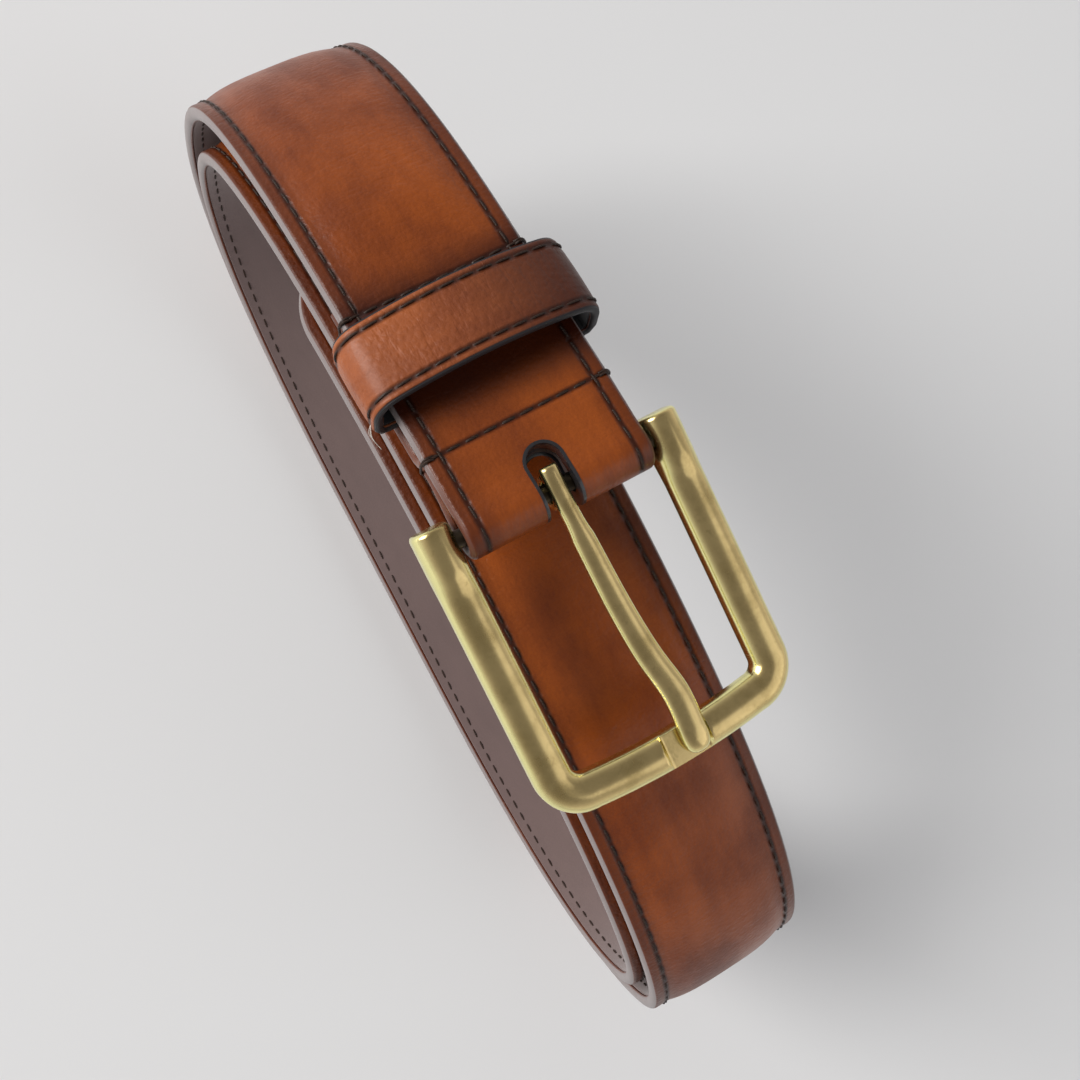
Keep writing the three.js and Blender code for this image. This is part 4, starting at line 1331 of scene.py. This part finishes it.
class BELT_OT_cross_stitching(bpy.types.Operator):
    """Add the two rows that hold the doubled end, with the thread round both edges"""

    bl_idname = "belt.add_cross_stitching"
    bl_label = "Cross Stitching"

    def execute(self, context):
        scene = context.scene
        strap, coil = scene.belt_strap, scene.belt_coil
        rows = (("front", coil.front_row), ("rear", coil.rear_row))
        for end, s in rows:
            parts = []
            pitch = strap.stitch_pitch
            count = int(strap.width / pitch)
            start = -count * pitch / 2
            top = strap.edge - 0.2 * MM
            under = -coil.touch - strap.edge * strap.skived
            parts.append(stitch_row(scene, "upper", start, count, 0, top, 1.1))
            lower = stitch_row(scene, "lower", start, count, 0, -under, 1.1)
            turn_and_place(lower, Matrix.Diagonal((1, 1, -1, 1)))
            point_normals_out(lower)
            parts.append(lower)
            for side in (-1, 1):
                for turn in (-0.25 * MM, 0.3 * MM):
                    parts.append(self.edge_loop(scene, side, turn, top, under))
            row = join(f"cross_stitches_{end}", parts)
            turn_and_place(row, end_frame(s))
            smooth(row, 60)
            finish_piece(row, dark_thread(scene), "strap", "thread", f"fold_stitch_{end}")
        return {"FINISHED"}

    def edge_loop(self, scene, side, turn, top, under):
        """One strand from the upper row, round the edge, to the lower row."""
        half = scene.belt_strap.width / 2
        middle = (top + under) / 2
        places = (
            (half - 1.9 * MM, top - 0.1 * MM),
            (half - 0.8 * MM, top + 0.22 * MM),
            (half + 0.2 * MM, top - 0.9 * MM),
            (half + 0.3 * MM, middle),
            (half + 0.1 * MM, under + 0.8 * MM),
            (half - 1.0 * MM, under - 0.2 * MM),
            (half - 1.9 * MM, under + 0.1 * MM),
        )
        points = [(side * across, turn * (1 - i / 3), up) for i, (across, up) in enumerate(places)]
        return draw_thread("edge_loop", points, scene.belt_strap.thread / 2)


# ---------------------------------------------------------------- the slot's edge


class BELT_OT_slot_edge(bpy.types.Operator):
    """Add the polished wall of the slot that the prong passes through"""

    bl_idname = "belt.add_slot_edge"
    bl_label = "Slot Edge"

    def execute(self, context):
        scene = context.scene
        strap = scene.belt_strap
        knots, origin = strap_route(scene)
        start, end = slot_ends(scene, origin)
        width = strap.slot + 0.1 * MM
        proud = 0.08 * MM
        edge = rounded_block("slot_edge", start, end, width, -proud, strap.edge + proud)
        pick(edge)
        bpy.ops.object.mode_set(mode="EDIT")
        straight = width / 2 * FULL_ROUND
        cut_across(edge, 0, start + straight, end - straight, 36)
        bpy.ops.mesh.select_mode(type="FACE")
        bpy.ops.mesh.select_all(action="DESELECT")
        mesh = bmesh.from_edit_mesh(edge.data)
        for face in mesh.faces:
            face.select_set(abs(face.normal.z) > 0.9)
        bmesh.update_edit_mesh(edge.data)
        bpy.ops.mesh.delete(type="FACE")
        bpy.ops.object.mode_set(mode="OBJECT")
        apply_modifier(edge, "SOLIDIFY", thickness=0.55 * MM, offset=-1.0, use_even_offset=True)
        apply_modifier(edge, "BEVEL", width=0.18 * MM, segments=3, limit_method="ANGLE")
        shape_strap(edge, scene, origin, False)
        route = draw_route("strap_route", knots)
        bend_along(edge, route)
        remove(route)
        smooth(edge, 45)
        finish_piece(edge, dark_edge(scene), "strap", "tan_leather")
        return {"FINISHED"}


# ---------------------------------------------------------------- the keeper


def bend_round_keeper(scene, piece):
    points = keeper_loop(scene)
    knots = straight_knots(points)
    route = draw_route("keeper_route", knots + knots[:1], KEEPER_STEPS)
    bend_along(piece, route)
    remove(route)
    turn_and_place(piece, end_frame(scene.belt_keeper.centre))


def keeper_round(scene):
    """Length of the keeper's inner line."""
    knots = straight_knots(keeper_loop(scene))
    return route_length(knots + knots[:1], KEEPER_STEPS)


class BELT_OT_keeper(bpy.types.Operator):
    """Add the keeper's face and its lining"""

    bl_idname = "belt.add_keeper"
    bl_label = "Keeper"

    def execute(self, context):
        scene = context.scene
        keeper = scene.belt_keeper
        tones = scene.belt_colours
        half = keeper.width / 2
        nose = 0.85 * MM
        around = keeper_round(scene)
        stretches = [(0.0, 0), (around, 0.6 * MM)]
        shoulders = [half * share for share in (0.8, 0.72, 0.6, 0.42, 0.2)]
        outline = band_outline(half, keeper.thickness, half - nose, keeper.lining, nose, shoulders)
        face = flat_band("keeper_band", outline, stretches)
        keep_flat_place(face)
        dome = 0.22 * MM
        row = half - keeper.stitch_inset
        for vertex in face.data.vertices:
            if vertex.co.z > 0.9 * keeper.thickness:
                share = abs(vertex.co.y) / half
                off = (row - abs(vertex.co.y)) / (0.7 * MM)
                groove = math.exp(-(off**2))
                vertex.co.z += dome * (1 - share**2) - dome - 0.05 * MM * groove
        bend_round_keeper(scene, face)
        smooth(face, 38)
        material = keeper_leather(scene)
        finish_piece(face, material, "keeper", "tan_leather", "keeper_face")

        inner = half - nose - 0.02 * MM
        top = keeper.lining - 0.02 * MM
        right = [(inner, top), (inner, 0.1 * MM), (inner - 0.1 * MM, 0.0), (inner / 2, 0.0)]
        outline = right + [(-across, up) for across, up in reversed(right)]
        lining = flat_band("keeper_inside", outline, stretches)
        keep_flat_place(lining)
        bend_round_keeper(scene, lining)
        smooth(lining, 38)
        # Painted shade: the keeper's lining takes the near black of the edge paint, for the shade
        # inside the loop.
        dark = tuple(channel * 0.4 for channel in tones.dark_paint_and_shade)
        material = lining_leather("Dark Keeper Lining", tones.dark_paint_and_shade, dark)
        finish_piece(lining, material, "keeper", "lining_leather", "keeper_lining")
        return {"FINISHED"}


class BELT_OT_keeper_stitching(bpy.types.Operator):
    """Add the keeper's two stitch rows"""

    bl_idname = "belt.add_keeper_stitching"
    bl_label = "Keeper Stitching"

    def execute(self, context):
        scene = context.scene
        keeper = scene.belt_keeper
        around = keeper_round(scene)
        floor = scene.belt_strap.width / 2 + keeper.side_gap
        start = floor + 1.0 * MM
        pitch = scene.belt_strap.stitch_pitch
        rows = (("front", 1), ("rear", -1))
        for name, side in rows:
            across = side * (keeper.width / 2 - keeper.stitch_inset)
            up = keeper.thickness - 0.02 * MM
            count = int((around - 2 * start) / pitch)
            row = stitch_row(scene, f"keeper_stitches_{name}", start, count, across, up, 0.85)
            bend_round_keeper(scene, row)
            smooth(row, 60)
            finish_piece(row, dark_thread(scene), "keeper", "thread", f"keeper_stitch_{name}")
        return {"FINISHED"}


class BELT_OT_staple(bpy.types.Operator):
    """Add the staple inside the keeper and the loose thread end below it"""

    bl_idname = "belt.add_staple"
    bl_label = "Staple and Thread End"

    def execute(self, context):
        scene = context.scene
        keeper = scene.belt_keeper
        tones = scene.belt_colours
        side = scene.belt_strap.width / 2 + keeper.side_gap
        low, high = self.staple_heights(scene)
        middle = (low + high) / 2
        half = keeper.staple / 2
        wire = keeper.staple_wire / 2
        points = (
            (side + 0.5 * MM, -half, middle),
            (side - 0.1 * MM, -half + 0.1 * MM, middle),
            (side - wire, -half + 0.7 * MM, middle),
            (side - wire, 0, middle),
            (side - wire, half - 0.7 * MM, middle),
            (side - 0.1 * MM, half - 0.1 * MM, middle),
            (side + 0.5 * MM, half, middle),
        )
        staple = draw_thread("keeper_wire", points, wire)
        turn_and_place(staple, end_frame(keeper.centre))
        smooth(staple, 60)
        material = metal("Bright Steel", tones.steel, tones.steel, 0.2, 0.004 * MM)
        finish_piece(staple, material, "keeper", "steel", "keeper_staple")

        left = -(side + keeper.thickness)
        front = -keeper.width / 2
        wisps = []
        for lean, drop in ((0.4, 2.4), (-0.3, 3.2), (0.9, 1.6)):
            start = Vector((left + 0.2 * MM, front + 1.6 * MM, 0.6 * MM))
            bow = Vector((-0.7 * MM, -(1.0 + lean) * MM, -0.4 * drop * MM))
            fall = Vector((-0.2 * MM, -(2.2 + 2 * lean) * MM, -drop * MM))
            points = (start, start + bow, start + fall)
            wisps.append(draw_thread("wisp", points, 0.055 * MM))
        ends = join("thread_ends", wisps)
        turn_and_place(ends, end_frame(keeper.centre))
        smooth(ends, 60)
        material = thread_material("Pale Thread Fibre", tones.wisp)
        finish_piece(ends, material, "keeper", "thread")
        return {"FINISHED"}

    def staple_heights(self, scene):
        """Lowest and highest place of the staple above the doubled end's lining."""
        low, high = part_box("keeper_staple")
        start = HINGE + OUTWARD * scene.belt_coil.fold
        centre = (low + high) / 2
        up = (centre - start).dot(OUTWARD)
        wire = scene.belt_keeper.staple_wire / 2
        return up - wire, up + wire


# ---------------------------------------------------------------- the buckle


# Height of a section's dome above its middle, as a share of its thickness.
CREST = 0.48


def rail_outline(width, height, steps=28):
    """A flat-bottomed, domed section of the frame or the prong."""
    outline = []
    for i in range(steps):
        angle = 2 * math.pi * i / steps
        cosine, sine = math.cos(angle), math.sin(angle)
        power = 1.0 if sine >= 0 else 0.36
        rise = CREST * height if sine >= 0 else 0.5 * height
        across = width / 2 * math.copysign(abs(cosine) ** power, cosine)
        outline.append((across, math.copysign(rise * abs(sine) ** power, sine)))
    return outline


def extrude_end(shift, stretch=(1, 1, 1), centre=(0, 0, 0)):
    """Extrudes the selected face, and scales the new end about a point."""
    bpy.ops.mesh.extrude_region_move(
        TRANSFORM_OT_translate={"value": shift, "orient_type": "GLOBAL"}
    )
    if stretch != (1, 1, 1):
        bpy.ops.transform.resize(value=stretch, center_override=centre)


def select_faces(piece, test):
    bpy.ops.mesh.select_mode(type="FACE")
    bpy.ops.mesh.select_all(action="DESELECT")
    mesh = bmesh.from_edit_mesh(piece.data)
    for face in mesh.faces:
        face.select_set(test(face))
    bmesh.update_edit_mesh(piece.data)


class BELT_OT_buckle(bpy.types.Operator):
    """Add the buckle's frame, with its lugs, its rounded corners and the prong's seat"""

    bl_idname = "belt.add_buckle"
    bl_label = "Buckle Frame"

    def execute(self, context):
        scene = context.scene
        buckle = scene.belt_buckle
        rail = BUCKLE_HALF - buckle.rail_width / 2
        front = buckle.reach - buckle.bow - buckle.rail_width / 2
        bend = buckle.inner_corner + buckle.rail_width / 2
        turn = (front - bend, rail - bend)
        lug = buckle.lug_height / buckle.rail_height
        section = [(rail + u, w) for u, w in rail_outline(buckle.rail_width, buckle.rail_height)]
        body = filled_section("belt_buckle", section, -buckle.lug_rear)
        bpy.ops.object.mode_set(mode="EDIT")
        bpy.ops.mesh.select_all(action="SELECT")
        bpy.ops.transform.resize(value=(1, 1, lug), center_override=(0, rail, 0))
        extrude_end((2 * buckle.lug_rear, 0, 0))
        extrude_end((buckle.lug_length - buckle.lug_rear, 0, 0), (1, 1, 1 / lug), (0, rail, 0))
        extrude_end((turn[0] - buckle.lug_length, 0, 0))
        bpy.ops.mesh.spin(
            steps=14, angle=math.pi / 2, center=(turn[0], turn[1], 0), axis=(0, 0, 1)
        )
        extrude_end((0, -turn[1], 0))
        select_faces(body, lambda face: abs(face.calc_center_median().y) < 1e-6)
        bpy.ops.mesh.delete(type="FACE")
        cut_across(body, 0, buckle.lug_rear, buckle.lug_length, 7)
        cut_across(body, 0, buckle.lug_length, turn[0], 12)
        cut_across(body, 1, 0.0, turn[1], 54)
        bpy.ops.object.mode_set(mode="OBJECT")
        self.round_lug_end(body, buckle)
        apply_modifier(body, "MIRROR", use_axis=(False, True, False), merge_threshold=1e-6)
        self.shape_front(body, buckle, turn)
        point_normals_out(body)
        turn_and_place(body, buckle_frame_matrix(scene))
        smooth(body, 50)
        finish_piece(body, antique_brass(scene), "buckle", "antique_brass", "buckle_frame")
        return {"FINISHED"}

    def round_lug_end(self, body, buckle):
        """Bevels the rear end of the lug."""
        pick(body)
        bpy.ops.object.mode_set(mode="EDIT")
        rear = -buckle.lug_rear
        select_faces(body, lambda face: abs(face.calc_center_median().x - rear) < 1e-6)
        bpy.ops.mesh.region_to_loop()
        bpy.ops.mesh.bevel(offset=0.9 * MM, segments=5, affect="EDGES")
        bpy.ops.object.mode_set(mode="OBJECT")

    def shape_front(self, body, buckle, turn):
        """Eases the lugs down to the rails, bows the front and presses the notch in."""
        floor = CREST * buckle.rail_height - buckle.notch_depth
        for vertex in body.data.vertices:
            x, y, z = vertex.co
            if x > turn[0]:
                x += buckle.bow * (1 - min(1.0, abs(y) / turn[1]) ** 2)
                off = abs(y - buckle.notch_side) - buckle.notch_width / 2
                seat = floor + 2.0 * buckle.notch_depth * ease(off, -0.7 * MM, 0.5 * MM)
                z = min(z, seat)
            elif buckle.lug_rear < x < buckle.lug_length:
                extra = buckle.lug_height / buckle.rail_height - 1
                straight = 1 + extra * (1 - ramp(x, buckle.lug_rear, buckle.lug_length))
                eased = 1 + extra * (1 - ease(x, buckle.lug_rear, buckle.lug_length))
                z *= eased / straight
            vertex.co = (x, y, z)


class BELT_OT_hinge_bar(bpy.types.Operator):
    """Add the bar that the strap folds round"""

    bl_idname = "belt.add_hinge_bar"
    bl_label = "Hinge Bar"

    def execute(self, context):
        scene = context.scene
        deselect()
        bpy.ops.mesh.primitive_cylinder_add(
            vertices=40,
            radius=scene.belt_buckle.bar,
            depth=BAR_LENGTH,
            rotation=(math.pi / 2, 0, 0),
        )
        bar = call_piece("belt_bar")
        bpy.ops.object.transform_apply(rotation=True)
        bpy.ops.object.mode_set(mode="EDIT")
        bpy.ops.mesh.select_all(action="DESELECT")
        select_faces(bar, lambda face: abs(face.normal.y) > 0.9)
        bpy.ops.mesh.inset(thickness=0.3 * MM)
        bpy.ops.object.mode_set(mode="OBJECT")
        apply_modifier(bar, "BEVEL", width=0.25 * MM, segments=3, limit_method="ANGLE")
        turn_and_place(bar, buckle_frame_matrix(scene))
        smooth(bar, 40)
        # Painted shade: the bar is coloured near black for the shade it sits in.
        tone = scene.belt_colours.bar
        dark = tuple(channel * 0.4 for channel in tone)
        material = metal("Tarnished Bar", tone, dark, 0.42, 0.01 * MM)
        finish_piece(bar, material, "buckle", "antique_brass", "hinge_bar")
        return {"FINISHED"}


# The eye turns almost all the way round the bar, a little inside the shaft's own section.
EYE_TURN = math.radians(352)
EYE_INSET = 0.96

# Slight sideways bends of the prong: share of its length, spread and push.
PRONG_BENDS = ((0.84, 0.13, 0.95 * MM), (0.46, 0.2, -0.25 * MM))


class BELT_OT_prong(bpy.types.Operator):
    """Add the prong, from its squared root and its eye to its rounded tip"""

    bl_idname = "belt.add_prong"
    bl_label = "Prong"

    def execute(self, context):
        scene = context.scene
        buckle = scene.belt_buckle
        prong = join("belt_prong", [self.make_shaft(buckle), self.make_eye(buckle)])
        turn_and_place(prong, buckle_frame_matrix(scene))
        smooth(prong, 50)
        finish_piece(prong, antique_brass(scene), "prong", "antique_brass", "prong")
        return {"FINISHED"}

    def make_eye(self, buckle):
        """The ring round the bar; its two ends meet inside the shaft."""
        middle = buckle.bar + buckle.eye_gap + buckle.eye_wall / 2
        width, height = buckle.prong_root * EYE_INSET, buckle.eye_wall * EYE_INSET
        outline = rail_outline(width, height, 20)
        section = [(across, middle + up) for across, up in outline]
        eye = filled_section("prong_eye", section, 0.0)
        bpy.ops.object.mode_set(mode="EDIT")
        bpy.ops.mesh.select_all(action="SELECT")
        bpy.ops.mesh.spin(steps=34, angle=EYE_TURN, center=(0, 0, 0), axis=(0, 1, 0))
        bpy.ops.object.mode_set(mode="OBJECT")
        point_normals_out(eye)
        return eye

    def make_shaft(self, buckle):
        stations = self.shaft_stations(buckle)
        place, width, height = stations[0]
        section = [
            (place.y + across, place.z + up) for across, up in rail_outline(width, height, 24)
        ]
        shaft = filled_section("prong_shaft", section, place.x)
        bpy.ops.object.mode_set(mode="EDIT")
        bpy.ops.mesh.select_all(action="SELECT")
        for centre, next_width, next_height in stations[1:]:
            stretch = (1, next_width / width, next_height / height)
            extrude_end(tuple(centre - place), stretch, tuple(centre))
            place, width, height = centre, next_width, next_height
        bpy.ops.object.mode_set(mode="OBJECT")
        point_normals_out(shaft)
        return shaft

    def shaft_stations(self, buckle):
        """Centre, width and height of the shaft from its root to its tip."""
        crest = buckle.bar + buckle.eye_gap + buckle.eye_wall
        seat = CREST * buckle.rail_height - buckle.notch_depth + buckle.eye_gap
        reach = buckle.reach - buckle.prong_short
        bend = buckle.reach - buckle.rail_width * 0.62
        over_bar = 1.6 * MM
        thinning = buckle.prong_height - buckle.eye_wall
        foot_at_bar = crest - buckle.prong_height

        def station(x, shrink=1.0):
            t = max(0.0, x / bend)
            full = buckle.eye_wall + thinning * ease(abs(x), over_bar, 2.2 * over_bar)
            foot = foot_at_bar + (seat - foot_at_bar) * t - 0.7 * MM * math.sin(math.pi * t)
            height = full * shrink
            shoulder = 0.35 * ease(x, 6.5 * MM, 9.5 * MM)
            share = shoulder + (1 - shoulder) * ramp(t, 0.1, 0.8)
            width = buckle.prong_root + (buckle.prong_tip - buckle.prong_root) * share
            middle = foot + buckle.prong_height - CREST * full
            side = buckle.prong_lean * t
            for where, spread, push in PRONG_BENDS:
                side += push * math.exp(-(((t - where) / spread) ** 2))
            centre = Vector((x, side, middle))
            return centre, width * (0.7 + 0.3 * shrink), height

        tail = -buckle.prong_tail
        rounding = 0.7 * MM
        stations = []
        for i in range(5):
            angle = math.pi / 2 * i / 4
            x = tail + rounding * (1 - math.cos(angle))
            stations.append(station(x, 0.45 + 0.55 * math.sin(angle)))
        steps = 34
        first = tail + 2 * rounding
        stations += [station(first + (bend - first) * i / steps) for i in range(steps + 1)]
        nose = reach - bend
        rounds = 7
        for i in range(1, rounds + 1):
            angle = math.pi / 2 * i / rounds
            x = bend + nose * math.sin(angle)
            shrink = 0.12 + 0.88 * math.cos(angle) ** 0.7
            height = buckle.prong_height * (0.25 + 0.75 * shrink)
            centre = Vector((x, stations[steps + 5][0].y, seat + height * 0.5))
            stations.append((centre, buckle.prong_tip * shrink, height))
        return stations


# ---------------------------------------------------------------- stage


def floor_material(scene):
    material, tree, shader = new_material("Pale Paper", {"Roughness": 0.85})
    place = add_node(tree, "ShaderNodeTexCoord", (-800, 0)).outputs["Object"]
    clouds = noise(tree, (-500, 0), place, 3.0, 2.0, 0.5)
    tone = scene.belt_colours.floor
    soft = tuple(channel * 0.97 for channel in tone)
    base = mix_colours(tree, (-200, 0), clouds, tone, soft)
    tree.links.new(base, shader.inputs["Base Color"])
    return material


# Each soft light: its name, its place and size in metres, the setting for its power, its tint.
LIGHTS = (
    ("key_light", (-1.4, -1.9, 1.62), 1.6, "key", (1.0, 0.985, 0.965)),
    ("fill_light", (0.9, 0.8, 1.1), 1.2, "fill", (0.95, 0.97, 1.0)),
)

# The sky's colour, and how much brighter it is near the horizon and dimmer overhead.
SKY_TINT = (0.985, 0.985, 1.0, 1)
SKY_AROUND = 1.8
SKY_OVERHEAD = 0.6

# The point that the camera looks at, from the middle of the hinge bar.
CAMERA_AIM = Vector((6.31, -3.88, -8.8)) * MM


class BELT_OT_stage(bpy.types.Operator):
    """Add the pale floor, the soft lights and the camera"""

    bl_idname = "belt.add_stage"
    bl_label = "Stage"

    def execute(self, context):
        scene = context.scene
        stage = scene.belt_stage
        deselect()
        bpy.ops.mesh.primitive_plane_add(size=8)
        floor = call_piece("pale_floor")
        floor.data.materials.append(floor_material(scene))
        for name, place, size, power, tint in LIGHTS:
            self.add_light(name, place, size, getattr(stage, power), tint)
        world = bpy.data.worlds.new("Soft Studio")
        world.use_nodes = True
        tree = world.node_tree
        sky = tree.nodes["Background"]
        sky.inputs["Color"].default_value = SKY_TINT
        place = add_node(tree, "ShaderNodeTexCoord", (-700, 0)).outputs["Generated"]
        axes = add_node(tree, "ShaderNodeSeparateXYZ", (-500, 0))
        tree.links.new(place, axes.inputs[0])
        around, overhead = stage.sky * SKY_AROUND, stage.sky * SKY_OVERHEAD
        level = range_node(tree, (-300, 0), axes.outputs["Z"], 0.0, 0.9, around, overhead)
        tree.links.new(level, sky.inputs["Strength"])
        scene.world = world
        scene.view_settings.view_transform = "Standard"
        self.add_camera(scene)
        return {"FINISHED"}

    def add_light(self, name, place, size, power, tint):
        deselect()
        bpy.ops.object.light_add(type="AREA", location=place)
        lamp = call_piece(name)
        lamp.data.size = size
        lamp.data.energy = power
        lamp.data.color = tint
        aim = HINGE - Vector(place)
        lamp.rotation_euler = aim.to_track_quat("-Z", "Y").to_euler()

    def add_camera(self, scene):
        stage = scene.belt_stage
        azimuth, elevation = stage.azimuth, stage.elevation
        back = Vector(
            (
                math.sin(azimuth) * math.cos(elevation),
                -math.cos(azimuth) * math.cos(elevation),
                math.sin(elevation),
            )
        )
        target = HINGE + CAMERA_AIM
        deselect()
        bpy.ops.object.camera_add(location=target + back * stage.distance)
        camera = call_piece("belt_camera")
        level = (-back).to_track_quat("-Z", "Y").to_matrix()
        camera.rotation_euler = (level @ Matrix.Rotation(stage.roll, 3, "Z")).to_euler()
        camera.data.lens = stage.lens
        camera.data.sensor_width = 36
        camera.data.clip_start = 0.01
        scene.camera = camera


# ---------------------------------------------------------------- add-on

GROUPS = {
    "belt_strap": BeltStrapSettings,
    "belt_coil": BeltCoilSettings,
    "belt_keeper": BeltKeeperSettings,
    "belt_buckle": BeltBuckleSettings,
    "belt_colours": BeltColourSettings,
    "belt_stage": BeltStageSettings,
}

OPERATORS = (
    BELT_OT_stage,
    BELT_OT_face,
    BELT_OT_lining,
    BELT_OT_slot_edge,
    BELT_OT_edge_stitching,
    BELT_OT_cross_stitching,
    BELT_OT_keeper,
    BELT_OT_keeper_stitching,
    BELT_OT_staple,
    BELT_OT_buckle,
    BELT_OT_hinge_bar,
    BELT_OT_prong,
)


class BELT_PT_panel(bpy.types.Panel):
    """Lists the belt's settings and its pieces"""

    bl_idname = "BELT_PT_panel"
    bl_label = "Rolled Leather Belt"
    bl_space_type = "VIEW_3D"
    bl_region_type = "UI"
    bl_category = "Belt"

    def draw(self, context):
        layout = self.layout
        for name in GROUPS:
            settings = getattr(context.scene, name)
            box = layout.box()
            box.label(text=name.replace("_", " ").title())
            for key in settings.__annotations__:
                box.prop(settings, key)
        for operator in OPERATORS:
            layout.operator(operator.bl_idname)


CLASSES = (*GROUPS.values(), *OPERATORS, BELT_PT_panel)


def register():
    for cls in CLASSES:
        bpy.utils.register_class(cls)
    for name, group in GROUPS.items():
        setattr(bpy.types.Scene, name, PointerProperty(type=group))


def unregister():
    for name in GROUPS:
        delattr(bpy.types.Scene, name)
    for cls in reversed(CLASSES):
        bpy.utils.unregister_class(cls)


def main():
    register()
    for operator in OPERATORS:
        family, name = operator.bl_idname.split(".")
        getattr(getattr(bpy.ops, family), name)()


if __name__ == "__main__":
    main()
